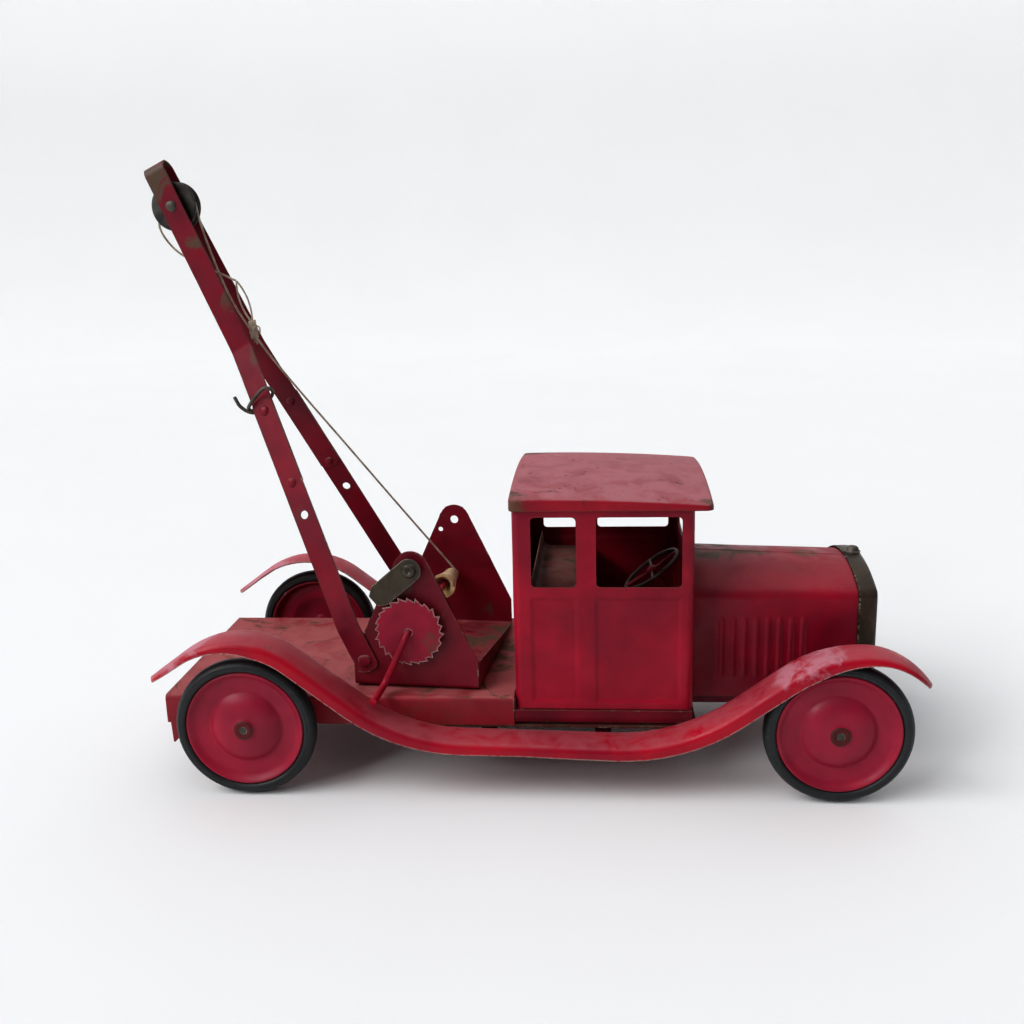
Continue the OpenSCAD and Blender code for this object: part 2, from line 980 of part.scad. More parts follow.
module pulley_pin() {
    color(steel)
        placed()
            on_boom()
                translate([0, 0, boom_len]) {
                    rod_y(-pin_half, pin_half, 1.95);
                    both_sides()
                        translate([0, pin_half - 0.2, 0])
                            rotate([-90, 0, 0])
                                dome(3.6, 1.5);
                }
}

pulley_hw = 4;
groove_r = 12.4;

module pulley() {
    color(steel)
        placed()
            on_boom()
                translate([0, 0, boom_len])
                    rotate([90, 0, 0])
                        rotate_extrude()
                            polygon([[2, -5.4], [4.5, -5.4], [4.5, -pulley_hw + 0.8],
                                [9, -pulley_hw], [pulley_r, -pulley_hw], [pulley_r, -pulley_hw + 0.9],
                                [groove_r, -1.2], [groove_r, 1.2], [pulley_r, pulley_hw - 0.9],
                                [pulley_r, pulley_hw], [9, pulley_hw], [4.5, pulley_hw - 0.8],
                                [4.5, 5.4], [2, 5.4]]);
}

cord_r = 0.8;

// centre of the pulley on the turret, in u and z
pulley_at = [boom_pivot[0] - boom_len * sin(boom_lean), boom_pivot[1] + boom_len * cos(boom_lean)];
cord_v = 50;
drum_r = coil_r[0] + (coil_r[1] - coil_r[0]) * (cord_v - coil_v[0]) / (coil_v[1] - coil_v[0])
    + cord_r + 0.1;
wrap_r = groove_r + cord_r + 0.1;
run = pulley_at - [winch_u, winch_z];
run_a = atan2(run[1], run[0]) - acos((drum_r - wrap_r) / norm(run));
cord_foot = [winch_u + drum_r * cos(run_a), cord_v, winch_z + drum_r * sin(run_a)];
cord_head = [pulley_at[0] + wrap_r * cos(run_a), 0, pulley_at[1] + wrap_r * sin(run_a)];
wrap_end = 196;                          // where the cord leaves the pulley, in degrees
knot_at = [pulley_at[0] + 17, 0, pulley_at[1] - 52];

module cord() {
    leave = [pulley_at[0] + wrap_r * cos(wrap_end), 0, pulley_at[1] + wrap_r * sin(wrap_end)];
    color(tan_cord)
        placed()
            on_turret() {
                bar(cord_foot, cord_head, cord_r);
                translate([pulley_at[0], 0, pulley_at[1]])
                    rotate([90, 0, 0])
                        rotate([0, 0, run_a])
                            rotate_extrude(angle = wrap_end - run_a)
                                translate([wrap_r, 0])
                                    circle(cord_r, $fn = 24);
                bar(leave, [pulley_at[0] - 11.5, 0, pulley_at[1] - 14], cord_r);
                bar([pulley_at[0] - 11.5, 0, pulley_at[1] - 14], knot_at, cord_r);
                for (p = [cord_head, leave, [pulley_at[0] - 11.5, 0, pulley_at[1] - 14]])
                    translate(p)
                        sphere(cord_r + 0.08, $fn = 24);
                translate(knot_at)
                    sphere(2.4, $fn = 32);
                translate(knot_at + [4, 0, -8])
                    rotate([90, 0, 0])
                        rotate_extrude()
                            translate([7.5, 0])
                                circle(cord_r, $fn = 24);
            }
}

hook_s = 180;
// the ring sits a little off the middle of the strap, clear of its edge
hook_x = -1.2;
hook_r = 1.25;

// an open ring of wire about z
module wire_ring(r, sweep) {
    rotate_extrude(angle = sweep)
        translate([r, 0])
            circle(hook_r, $fn = 24);
}

module hook() {
    color(steel)
        placed()
            on_boom()
                translate([hook_x, -leg_end[0] + 1, hook_s]) {
                    // round the strap
                    rotate([0, -20, 0])
                        rotate([0, 0, 25])
                            wire_ring(9.8, 310);
                    // the open hook at its left
                    translate([-12.4, 0, 2])
                        rotate([90, 0, 0])
                            rotate([0, 0, 165])
                                wire_ring(4.6, 185);
                }
}

frame_channel();
bed();
bed_bearers();
guard_ties();
aprons();
guard_right();
guard_left();
cab_shell();
cab_roof();
seat();
steering_column();
steering_wheel();
bonnet();
radiator_shell();
radiator_grille();
radiator_cap();
front_axle();
rear_axle();
axle_spacers();
hub_caps();
wheel_front_right();
wheel_front_left();
wheel_rear_right();
wheel_rear_left();
tyre_front_right();
tyre_front_left();
tyre_rear_right();
tyre_rear_left();
turntable_washer();
turntable_rivet();
turret_frame();
pawl_rivet();
boom_pivots();
winch_crank();
ratchet_wheel();
cord_coil();
winch_collar();
pawl();
boom_strap();
boom_leg_right();
boom_leg_left();
boom_rivets();
pulley_pin();
pulley();
cord();
hook();
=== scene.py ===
import json
import math
import random
from math import cos, pi, radians, sin, sqrt

import bmesh
import bpy
from mathutils import Matrix, Vector, noise
from mathutils.geometry import delaunay_2d_cdt


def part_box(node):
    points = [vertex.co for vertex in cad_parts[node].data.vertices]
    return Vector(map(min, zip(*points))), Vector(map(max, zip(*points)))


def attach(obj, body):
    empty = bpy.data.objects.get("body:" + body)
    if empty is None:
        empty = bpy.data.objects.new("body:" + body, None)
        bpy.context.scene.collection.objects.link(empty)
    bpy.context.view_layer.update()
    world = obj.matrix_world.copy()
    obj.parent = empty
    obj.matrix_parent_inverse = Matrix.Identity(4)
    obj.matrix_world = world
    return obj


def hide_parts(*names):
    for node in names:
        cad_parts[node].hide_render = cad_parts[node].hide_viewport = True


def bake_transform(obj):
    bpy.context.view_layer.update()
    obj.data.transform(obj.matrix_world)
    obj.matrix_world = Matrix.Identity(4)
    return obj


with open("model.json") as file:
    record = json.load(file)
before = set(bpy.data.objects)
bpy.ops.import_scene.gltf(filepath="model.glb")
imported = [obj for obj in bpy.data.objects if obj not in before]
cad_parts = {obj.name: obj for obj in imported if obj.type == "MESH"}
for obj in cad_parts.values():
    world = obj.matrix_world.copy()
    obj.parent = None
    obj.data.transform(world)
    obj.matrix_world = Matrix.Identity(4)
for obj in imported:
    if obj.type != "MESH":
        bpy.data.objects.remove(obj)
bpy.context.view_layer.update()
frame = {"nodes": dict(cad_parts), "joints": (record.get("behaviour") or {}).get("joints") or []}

# Every piece is shaped in millimetres in the space of the thing it belongs to, then put in the row frame.
random.seed(7)
MM = 0.001
SHEET = 1.2                      # thickness of the pressed steel
GUARD_SHEET = 1.0                # the mudguards' edges look thinner
joints = {j["name"]: j for j in frame["joints"]}


# ---- spaces ----

def centre(node):
    low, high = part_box(node)
    return (low + high) / 2


def axes(origin, x, y, z):
    """Matrix from millimetres along three directions to the row frame."""
    turn = Matrix((x, y, z)).transposed().to_4x4()
    return Matrix.Translation(origin) @ turn @ Matrix.Scale(MM, 4)


UP = Vector((0, 0, 1))
slew_at = Vector(joints["turret_slew"]["pos_m"])
luff_at = Vector(joints["boom_luff"]["pos_m"])
pulley_at = Vector(joints["pulley_spin"]["pos_m"])
ACROSS = Vector(joints["boom_luff"]["axis"]).normalized()
ALONG = (pulley_at - luff_at).normalized()
# station space: x from the rear axle, y left, z from the ground
STATION = Matrix.Translation((centre("rear_axle").x, 0, 0)) @ Matrix.Scale(MM, 4)
# turret space: u forward, v left, z from the ground
TURRET = axes((slew_at.x, slew_at.y, 0), ACROSS.cross(UP), ACROSS, UP)
# boom space: x across the straps, w left, s along the boom from its pivot
BOOM = axes(luff_at, ACROSS.cross(ALONG), ACROSS, ALONG)


def local_box(node, space):
    """Lowest and highest corner of a CAD node in a space, in that space's millimetres."""
    inverse = space.inverted()
    points = [inverse @ v.co for v in frame["nodes"][node].data.vertices]
    low = Vector([min(p[i] for p in points) for i in range(3)])
    high = Vector([max(p[i] for p in points) for i in range(3)])
    return low, high


# ---- flat outlines and bent lines ----

class Line:
    """A line of straights (length, 0) and arcs (radius, turn in degrees)."""

    def __init__(self, start, heading, parts):
        self.parts = []
        at, h, s = Vector(start), radians(heading), 0.0
        for size, turn in parts:
            t = radians(turn)
            length = size * abs(t) if turn else size
            self.parts.append((s, length, at.copy(), h, size, t))
            at, h = self.step(at, h, size, t, length, length)
            s += length
        self.length = s
        self.end, self.end_heading = at, h

    @staticmethod
    def step(at, h, size, turn, length, d):
        if not turn:
            return at + d * Vector((cos(h), sin(h))), h
        a = turn * d / length
        r = math.copysign(size, turn)
        return at + r * Vector((sin(h + a) - sin(h), cos(h) - cos(h + a))), h + a

    def at(self, s):
        """Point and heading s along the line."""
        for start, length, at, h, size, turn in self.parts:
            if s <= start + length:
                break
        return self.step(at, h, size, turn, length, s - start)

    def off(self, s, out):
        """Point s along the line and a distance to its right."""
        at, h = self.at(s)
        return at + out * Vector((sin(h), -cos(h)))

    def stops(self, step, arc=8):
        """Distances along the line, close together in the arcs."""
        found = [0.0]
        for start, length, at, h, size, turn in self.parts:
            n = max(1, round(abs(math.degrees(turn)) / arc) if turn else round(length / step))
            found += [start + length * (i + 1) / n for i in range(n)]
        return found


def spread(low, high, step):
    n = max(1, round((high - low) / step))
    return [low + (high - low) * i / n for i in range(n + 1)]


def circle(x, y, r, n=20):
    return [Vector((x + r * cos(2 * pi * i / n), y + r * sin(2 * pi * i / n))) for i in range(n)]


def round_box(x0, y0, x1, y1, r, n=4):
    """Outline of a rectangle with round corners, counter-clockwise."""
    corners = [(x1 - r, y0 + r, -90), (x1 - r, y1 - r, 0), (x0 + r, y1 - r, 90), (x0 + r, y0 + r, 180)]
    return [Vector((x + r * cos(radians(a + 90 * i / n)), y + r * sin(radians(a + 90 * i / n))))
            for x, y, a in corners for i in range(n + 1)]


def slot_box(x0, y0, x1, y1, r, n=8):
    """Outline of a strap along y with round ends."""
    ends = [(y0 + r, 180), (y1 - r, 0)]
    middle = (x0 + x1) / 2
    half = (x1 - x0) / 2
    return [Vector((middle + half * cos(radians(a + 180 * i / n)), y + r * sin(radians(a + 180 * i / n))))
            for y, a in ends for i in range(n + 1)]


def inside(p, loop):
    found = False
    b = loop[-1]
    for a in loop:
        if (a.y > p.y) != (b.y > p.y) and p.x < (b.x - a.x) * (p.y - a.y) / (b.y - a.y) + a.x:
            found = not found
        b = a
    return found


def near(p, loop, distance):
    b = loop[-1]
    for a in loop:
        d = b - a
        t = max(0, min(1, (p - a).dot(d) / max(d.length_squared, 1e-9)))
        if (p - a - t * d).length_squared < distance ** 2:
            return True
        b = a
    return False


def cut(loop, xs, ys):
    """The loop with extra points wherever it crosses a line of the grid."""
    out = []
    for a, b in zip(loop, loop[1:] + loop[:1]):
        d = b - a
        marks = {0.0}
        for axis, values in ((0, xs), (1, ys)):
            if abs(d[axis]) > 1e-6:
                marks |= {t for t in ((v - a[axis]) / d[axis] for v in values) if 0.001 < t < 0.999}
        last = -1
        for t in sorted(marks):
            if (t - last) * d.length > 0.05:
                out.append(a + t * d)
                last = t
    return out


def flat_sheet(bm, outline, holes, xs, ys, place, keep_off=0.25):
    """Adds a flat outline with holes to bm, meshed on a grid.

    Each point is moved to where place(x, y) puts it."""
    loops = [cut([Vector(p) for p in loop], xs, ys) for loop in [outline] + list(holes)]
    points, edges = [], []
    for loop in loops:
        start = len(points)
        points += loop
        edges += [(start + i, start + (i + 1) % len(loop)) for i in range(len(loop))]
    for x in xs:
        for y in ys:
            p = Vector((x, y))
            if inside(p, loops[0]) and not any(inside(p, h) for h in loops[1:]):
                if not any(near(p, loop, keep_off) for loop in loops):
                    points.append(p)
    verts, _, faces, _, _, _ = delaunay_2d_cdt(points, edges, [], 0, 1e-5)
    made = [bm.verts.new(place(v.x, v.y)) for v in verts]
    for f in faces:
        middle = sum((verts[i] for i in f), Vector((0, 0))) / len(f)
        if inside(middle, loops[0]) and not any(inside(middle, h) for h in loops[1:]):
            bm.faces.new([made[i] for i in f])
    loose = [v for v in bm.verts if not v.link_faces]
    bmesh.ops.delete(bm, geom=loose, context="VERTS")


def grid(bm, rows, closed=False):
    """Adds a surface through rows of points."""
    made = [[bm.verts.new(p) for p in row] for row in rows]
    for a, b in zip(made, made[1:]):
        n = len(a)
        for i in range(n if closed else n - 1):
            bm.faces.new((a[i], a[(i + 1) % n], b[(i + 1) % n], b[i]))
    return made


def lathe(bm, profile, place=Matrix(), n=64, wobble=0.0):
    """Turns a profile of (radius, height) points about z. A closed profile comes back to its first point."""
    rings = []
    for r, z in profile:
        if r < 1e-6:
            rings.append([bm.verts.new(place @ Vector((0, 0, z)))])
        else:
            rings.append([bm.verts.new(place @ Vector((
                (r + wobble * sin(3 * a + z)) * cos(a), (r + wobble * sin(3 * a + z)) * sin(a), z)))
                for a in (2 * pi * i / n for i in range(n))])
    for a, b in zip(rings, rings[1:]):
        for i in range(n):
            j = (i + 1) % n
            if len(a) == 1:
                bm.faces.new((a[0], b[j], b[i]))
            elif len(b) == 1:
                bm.faces.new((a[i], a[j], b[0]))
            else:
                bm.faces.new((a[i], a[j], b[j], b[i]))


def sweep(bm, points, radius, sides=12, caps=True):
    """A round bar along points. radius is a number or a function of the share of the way along."""
    points = [Vector(p) for p in points]
    size = radius if callable(radius) else lambda t: radius
    tangent = [(b - a).normalized() for a, b in zip(points[:1] + points, points[1:] + points[-1:])]
    tangent[0] = (points[1] - points[0]).normalized()
    side = tangent[0].orthogonal().normalized()
    rings = []
    for i, (p, t) in enumerate(zip(points, tangent)):
        side = (side - side.dot(t) * t).normalized()
        other = t.cross(side)
        r = size(i / (len(points) - 1))
        rings.append([p + r * (cos(a) * side + sin(a) * other)
                      for a in (2 * pi * k / sides for k in range(sides))])
    made = grid(bm, rings, closed=True)
    if caps:
        for ring, p, t, sign in ((made[0], points[0], tangent[0], -1), (made[-1], points[-1], tangent[-1], 1)):
            tip = bm.verts.new(p + sign * 0.35 * size(0) * t)
            for k in range(sides):
                bm.faces.new((ring[k], ring[(k + 1) % sides], tip))


def fillet(points, radius, n=6):
    """A bent line with each inner corner rounded."""
    points = [Vector(p) for p in points]
    out = [points[0]]
    for a, b, c in zip(points, points[1:], points[2:]):
        r = min(radius, (a - b).length * 0.45, (c - b).length * 0.45)
        p, q = b + r * (a - b).normalized(), b + r * (c - b).normalized()
        out += [(1 - t) ** 2 * p + 2 * t * (1 - t) * b + t * t * q for t in (i / n for i in range(n + 1))]
    return out + [points[-1]]


def flowing(points, n=8):
    """A smooth line through points."""
    points = [Vector(p) for p in points]
    ends = [2 * points[0] - points[1]] + points + [2 * points[-1] - points[-2]]
    out = []
    for a, b, c, d in zip(ends, ends[1:], ends[2:], ends[3:]):
        for i in range(n):
            t = i / n
            out.append(0.5 * (2 * b + (c - a) * t + (2 * a - 5 * b + 4 * c - d) * t * t
                              + (3 * b - a - 3 * c + d) * t ** 3))
    return out + [points[-1]]


def even(points, step):
    """Points spaced evenly along a line."""
    points = [Vector(p) for p in points]
    out, left = [points[0]], step
    for a, b in zip(points, points[1:]):
        length = (b - a).length
        d = left
        while d <= length:
            out.append(a + (b - a) * (d / length))
            d += step
        left = d - length
    return out


def ripple(p, size, amount):
    """A small dent or swell at a point, in millimetres."""
    return amount * noise.noise(Vector(p) / size)


def piece(name, bm, space, body, material, stands_for=(), thickness=0.0, bevel=0.0, closed=True, sharp=38):
    """Makes an object from bm, with its modifiers, material and CAD body."""
    if closed and not thickness:
        bmesh.ops.recalc_face_normals(bm, faces=bm.faces)
    bm.transform(space)
    if space.determinant() < 0:
        bmesh.ops.reverse_faces(bm, faces=bm.faces)
    mesh = bpy.data.meshes.new(name)
    bm.to_mesh(mesh)
    bm.free()
    obj = bpy.data.objects.new(name, mesh)
    bpy.context.scene.collection.objects.link(obj)
    mesh.materials.append(material)
    dress(obj, thickness, bevel, sharp)
    if body:
        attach(obj, body)
    if stands_for:
        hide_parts(*stands_for)
    return obj


def dress(obj, thickness=0.0, bevel=0.0, sharp=38):
    """Smooth shading, sheet thickness and rounded edges."""
    mesh = obj.data
    mesh.shade_smooth()
    if thickness:
        solid = obj.modifiers.new("sheet", "SOLIDIFY")
        solid.thickness = thickness * MM
        solid.offset = 0
        solid.use_even_offset = False
    if bevel:
        edge = obj.modifiers.new("edges", "BEVEL")
        edge.width = bevel * MM
        edge.segments = 2
        edge.limit_method = "ANGLE"
        edge.angle_limit = radians(sharp)
        edge.use_clamp_overlap = True
        obj.modifiers.new("shading", "WEIGHTED_NORMAL").keep_sharp = True
    else:
        mesh.set_sharp_from_angle(angle=radians(sharp))


# ---- materials ----

class Look:
    """A procedural material in object space, built from small named steps."""

    def __init__(self, name, shift=0.0):
        self.material = bpy.data.materials.new(name)
        self.material.use_nodes = True
        self.tree = self.material.node_tree
        self.tree.nodes.clear()
        self.place = self.node("ShaderNodeTexCoord").outputs["Object"]
        self.at = self.node("ShaderNodeVectorMath", {0: self.place, 1: (shift, shift * 0.7, -shift)}).outputs[0]
        self.shader = self.node("ShaderNodeBsdfPrincipled")
        output = self.node("ShaderNodeOutputMaterial", {"Surface": self.shader.outputs[0]})
        output.is_active_output = True

    def node(self, kind, inputs=None, **settings):
        made = self.tree.nodes.new(kind)
        for key, value in settings.items():
            setattr(made, key, value)
        for key, value in (inputs or {}).items():
            self.put(made.inputs[key], value)
        return made

    def put(self, socket, value):
        if isinstance(value, bpy.types.NodeSocket):
            self.tree.links.new(value, socket)
        elif socket.type == "RGBA":
            socket.default_value = tuple(value) + (1.0,)
        else:
            socket.default_value = value

    def set(self, **inputs):
        for key, value in inputs.items():
            self.put(self.shader.inputs[key.replace("_", " ")], value)

    def stretched(self, size):
        return self.node("ShaderNodeMapping", {"Vector": self.at, "Scale": size}).outputs[0]

    def noise(self, scale, detail=3, rough=0.55, at=None, distort=0.0):
        inputs = {"Vector": at or self.at, "Scale": scale, "Detail": detail, "Roughness": rough,
                  "Distortion": distort}
        return self.node("ShaderNodeTexNoise", inputs).outputs["Fac"]

    def step(self, value, low, high, to=1.0):
        """0 below low, to above high, smooth between; low may be above high."""
        inputs = {"Value": value, "From Min": low, "From Max": high, "To Min": 0.0, "To Max": to}
        made = self.node("ShaderNodeMapRange", inputs, interpolation_type="SMOOTHSTEP")
        return made.outputs[0]

    def math(self, kind, a, b=0.0):
        return self.node("ShaderNodeMath", {0: a, 1: b}, operation=kind, use_clamp=True).outputs[0]

    def mix(self, share, a, b):
        made = self.node("ShaderNodeMix", data_type="RGBA")
        self.put(made.inputs[0], share)
        self.put(made.inputs[6], a)
        self.put(made.inputs[7], b)
        return made.outputs[2]

    def edge(self, radius):
        """1 on edges and corners, 0 on flat stretches."""
        rounded = self.node("ShaderNodeBevel", {"Radius": radius * MM}, samples=4).outputs[0]
        true = self.node("ShaderNodeNewGeometry").outputs["Normal"]
        same = self.node("ShaderNodeVectorMath", {0: rounded, 1: true}, operation="DOT_PRODUCT").outputs["Value"]
        return self.step(same, 0.985, 0.86)

    def facing_up(self, low=0.55, high=0.93):
        normal = self.node("ShaderNodeNewGeometry").outputs["Normal"]
        z = self.node("ShaderNodeSeparateXYZ", {0: normal}).outputs[2]
        return self.step(z, low, high)

    def bump(self, height, strength, distance=0.3):
        inputs = {"Height": height, "Strength": strength, "Distance": distance * MM}
        self.set(Normal=self.node("ShaderNodeBump", inputs).outputs[0])


BRIGHT_RED = (0.36, 0.003, 0.024)
DEEP_RED = (0.2, 0.002, 0.018)
SHADE_RED = (0.085, 0.002, 0.01)
# pale pink of dust and fading, which on top faces is also painted sheen
PALE_DUST_AND_SHEEN = (0.36, 0.085, 0.09)
TARNISH = (0.085, 0.058, 0.034)
RUST = (0.055, 0.022, 0.01)
BARE = (0.42, 0.40, 0.36)


# dust is the pale colour of top faces and scratches; on the tops it is partly painted sheen, in the share
# sheen_and_fade
def enamel(name, bright=BRIGHT_RED, deep=DEEP_RED, sheen_and_fade=0.3, patches=0.25, wear=0.5, chips=0.3, bare=0.35,
           gloss=0.3, shift=0.0, dust=PALE_DUST_AND_SHEEN, grime_and_sheen=()):
    """Old brushed enamel on steel: uneven tone, top faces paler from fading and dust and from painted sheen,
    tarnished patches, worn edges, chips, scratches.

    grime_and_sheen lists the spots that are dirtier than the rest, and the paler spots of fading with painted
    sheen."""
    look = Look(name, shift)
    broad = look.noise(16, 3, 0.6, distort=0.4)
    blotch = look.noise(60, 5, 0.62, distort=0.6)
    fine = look.noise(420, 4, 0.6)
    grain = look.noise(1500, 2)
    tone = look.mix(look.step(broad, 0.3, 0.7), deep, bright)
    tone = look.mix(look.step(blotch, 0.35, 0.75, 0.35), tone, deep)
    # top faces turn towards the dust colour: partly dust and fading, partly painted sheen
    up = look.facing_up()
    sheen_and_fade_mask = look.math("MULTIPLY", up, look.step(blotch, 0.2, 0.6, sheen_and_fade))
    tone = look.mix(sheen_and_fade_mask, tone, dust)
    # tarnish lies mostly on the tops
    spots = look.step(look.noise(34, 6, 0.68, distort=1.2), 0.68 - 0.22 * patches, 0.8 - 0.22 * patches, 0.85)
    spots = look.math("MULTIPLY", spots, look.math("ADD", up, 0.25))
    tone = look.mix(spots, tone, TARNISH)
    # each spot darkens with grime, or on the guards lightens with fading and painted sheen
    for point, radius, amount, mark in grime_and_sheen:
        away = look.node("ShaderNodeVectorMath", {0: look.place, 1: point}, operation="DISTANCE").outputs["Value"]
        ragged = look.math("ADD", look.step(away, radius, radius * 0.35, 0.5), look.step(blotch, 0.3, 0.7, 0.5))
        tone = look.mix(look.step(ragged, 0.55, 0.85, amount), tone, mark)
    # chips down to primer and rust
    chip = look.step(look.noise(230, 5, 0.7, distort=1.5), 0.735 - 0.06 * chips, 0.755 - 0.06 * chips)
    tone = look.mix(chip, tone, RUST)
    # long thin scratches
    lines = look.noise(60, 4, 0.7, at=look.stretched((1.0, 0.35, 9.0)), distort=0.2)
    scratch = look.step(lines, 0.735, 0.76, 0.5)
    tone = look.mix(scratch, tone, dust)
    # edges: a brown rim, then bare metal where hands rub
    edge = look.edge(1.5)
    rub = look.math("MULTIPLY", edge, look.step(fine, 0.62 - 0.3 * wear, 0.72 - 0.3 * wear))
    tone = look.mix(look.math("MULTIPLY", edge, look.step(blotch, 0.25, 0.6, wear)), tone, TARNISH)
    metal = look.math("MULTIPLY", rub, look.step(blotch, 0.6 - bare * 0.4, 0.75 - bare * 0.4))
    tone = look.mix(rub, tone, RUST)
    tone = look.mix(metal, tone, BARE)
    rough = look.math("ADD", look.step(blotch, 0.2, 0.8, 0.28), gloss)
    rough = look.math("ADD", rough, look.math("MULTIPLY", sheen_and_fade_mask, 0.35))
    rough = look.math("ADD", rough, look.math("MULTIPLY", look.math("ADD", chip, spots), 0.3))
    look.set(Base_Color=tone, Roughness=rough, Metallic=look.math("MULTIPLY", metal, 0.8),
             Specular_IOR_Level=0.28)
    height = look.math("SUBTRACT",
                       look.math("ADD", look.math("MULTIPLY", grain, 0.12), look.step(fine, 0, 1, 0.3)),
                       look.math("MULTIPLY", look.math("ADD", chip, rub), 0.3))
    look.bump(height, 0.35, 0.25)
    return look.material


def steel(name, dark=(0.045, 0.038, 0.03), light=(0.16, 0.14, 0.12), rust=0.4, bare=0.5, metallic=0.75, rough=0.4,
          shift=0.0):
    """Tarnished steel: dark bloom, rust freckles, brighter rubbed edges."""
    look = Look(name, shift)
    broad = look.noise(45, 4, 0.6, distort=0.5)
    fine = look.noise(500, 4, 0.65)
    tone = look.mix(look.step(broad, 0.3, 0.7), dark, light)
    freckle = look.step(look.noise(190, 6, 0.7, distort=1.0), 0.64 - 0.16 * rust, 0.74 - 0.16 * rust)
    tone = look.mix(look.math("MULTIPLY", freckle, 0.85), tone, RUST)
    rub = look.math("MULTIPLY", look.edge(0.8), look.step(fine, 0.6 - 0.3 * bare, 0.7 - 0.3 * bare))
    tone = look.mix(rub, tone, BARE)
    spread_rough = look.math("ADD", look.step(broad, 0.2, 0.8, 0.25), rough)
    look.set(Base_Color=tone, Metallic=look.math("SUBTRACT", metallic, look.math("MULTIPLY", freckle, metallic)),
             Roughness=look.math("ADD", spread_rough, look.math("MULTIPLY", freckle, 0.3)))
    look.bump(look.math("ADD", look.step(fine, 0, 1, 0.5), look.math("MULTIPLY", freckle, 0.4)), 0.35, 0.2)
    return look.material


def rubber(name, shift=0.0):
    """Aged black rubber: blue-grey bloom, scuffs and dust."""
    look = Look(name, shift)
    broad = look.noise(30, 4, 0.6)
    dust = look.noise(300, 5, 0.7, distort=0.8)
    tone = look.mix(look.step(broad, 0.3, 0.7), (0.007, 0.008, 0.009), (0.018, 0.021, 0.023))
    scuff = look.step(dust, 0.58, 0.72, 0.55)
    tone = look.mix(scuff, tone, (0.06, 0.062, 0.06))
    worn = look.math("MULTIPLY", look.edge(1.2), look.step(dust, 0.45, 0.6, 0.5))
    tone = look.mix(worn, tone, (0.08, 0.08, 0.075))
    look.set(Base_Color=tone, Roughness=look.math("ADD", look.step(broad, 0.2, 0.8, 0.2), 0.42),
             Specular_IOR_Level=0.4)
    look.bump(look.math("ADD", look.step(dust, 0.3, 0.8, 0.6), look.math("MULTIPLY", look.noise(1800, 2), 0.3)),
              0.3, 0.25)
    return look.material


def cotton(name, light=(0.56, 0.45, 0.31), dark=(0.27, 0.17, 0.09)):
    """Old twisted cotton: soiled fibres with a soft sheen."""
    look = Look(name)
    soil = look.noise(130, 5, 0.65, distort=0.5)
    fibre = look.noise(2600, 3, 0.7)
    tone = look.mix(look.step(soil, 0.35, 0.72), light, dark)
    tone = look.mix(look.step(fibre, 0.3, 0.7, 0.4), tone, dark)
    look.set(Base_Color=tone, Roughness=0.92, Sheen_Weight=0.35, Sheen_Roughness=0.6)
    look.bump(fibre, 0.6, 0.15)
    return look.material


def spot(space, x, y, z, radius, amount, tone=TARNISH):
    """A grimy place, or a pale place of fading with painted sheen, given in one of the spaces."""
    return tuple(space @ Vector((x, y, z))), radius * MM, amount, tone


RED = enamel("red_enamel", sheen_and_fade=0.25, patches=0.15, wear=0.35, chips=0.35, bare=0.1)
BONNET_RED = enamel("bonnet_enamel", (0.3, 0.002, 0.02), (0.17, 0.002, 0.016), sheen_and_fade=0.3, patches=0.25,
                    wear=0.5, chips=0.4, bare=0.1, shift=0.17,
                    grime_and_sheen=[spot(STATION, 288, 0, 132, 42, 0.85), spot(STATION, 322, 0, 131, 16, 0.7),
                           spot(STATION, 356, 0, 129, 14, 0.6)])
DECK_RED = enamel("deck_enamel", (0.33, 0.02, 0.035), (0.2, 0.012, 0.02), sheen_and_fade=0.95, patches=0.62,
                  wear=0.6, chips=0.6, bare=0.3, gloss=0.36, shift=0.31, dust=(0.36, 0.1, 0.1),
                  grime_and_sheen=[spot(STATION, 60, -40, 60, 16, 0.7), spot(STATION, 72, 30, 60, 20, 0.75),
                         spot(STATION, 108, -62, 60, 14, 0.8), spot(STATION, 140, 0, 60, 60, 0.9)])
GUARD_RED = enamel("guard_enamel", (0.42, 0.003, 0.02), (0.25, 0.002, 0.018), sheen_and_fade=0.6, patches=0.3, wear=0.8,
                   chips=0.5, bare=0.9, gloss=0.24, shift=0.57, dust=(0.4, 0.1, 0.12),
                   # pale pink spots at both ends of each guard: painted sheen, with some fading
                   grime_and_sheen=[spot(STATION, x, y, 100, 44, 0.6, (0.52, 0.24, 0.3))
                          for x in (-42, 340) for y in (-88, 88)])
ROOF_RED = enamel("roof_enamel", (0.33, 0.006, 0.02), (0.19, 0.004, 0.015), sheen_and_fade=0.95, patches=0.35, wear=1.0,
                  chips=1.5, bare=-0.5, gloss=0.34, shift=0.83, dust=(0.4, 0.15, 0.17),
                  grime_and_sheen=[spot(STATION, 168, -74, 184, 26, 0.8), spot(STATION, 168, 74, 186, 34, 0.8),
                         spot(STATION, 286, -74, 180, 14, 0.7)])
CHEEK_RED = enamel("cheek_enamel", (0.22, 0.002, 0.017), (0.11, 0.002, 0.011), sheen_and_fade=0.7, patches=0.6, wear=0.45,
                   chips=0.3, bare=0.2, gloss=0.3, shift=1.13,
                   grime_and_sheen=[spot(TURRET, 40, 25, 66, 58, 0.9), spot(TURRET, 62, -15, 64, 30, 0.6),
                          spot(TURRET, -10, -63, 128, 16, 0.7)])
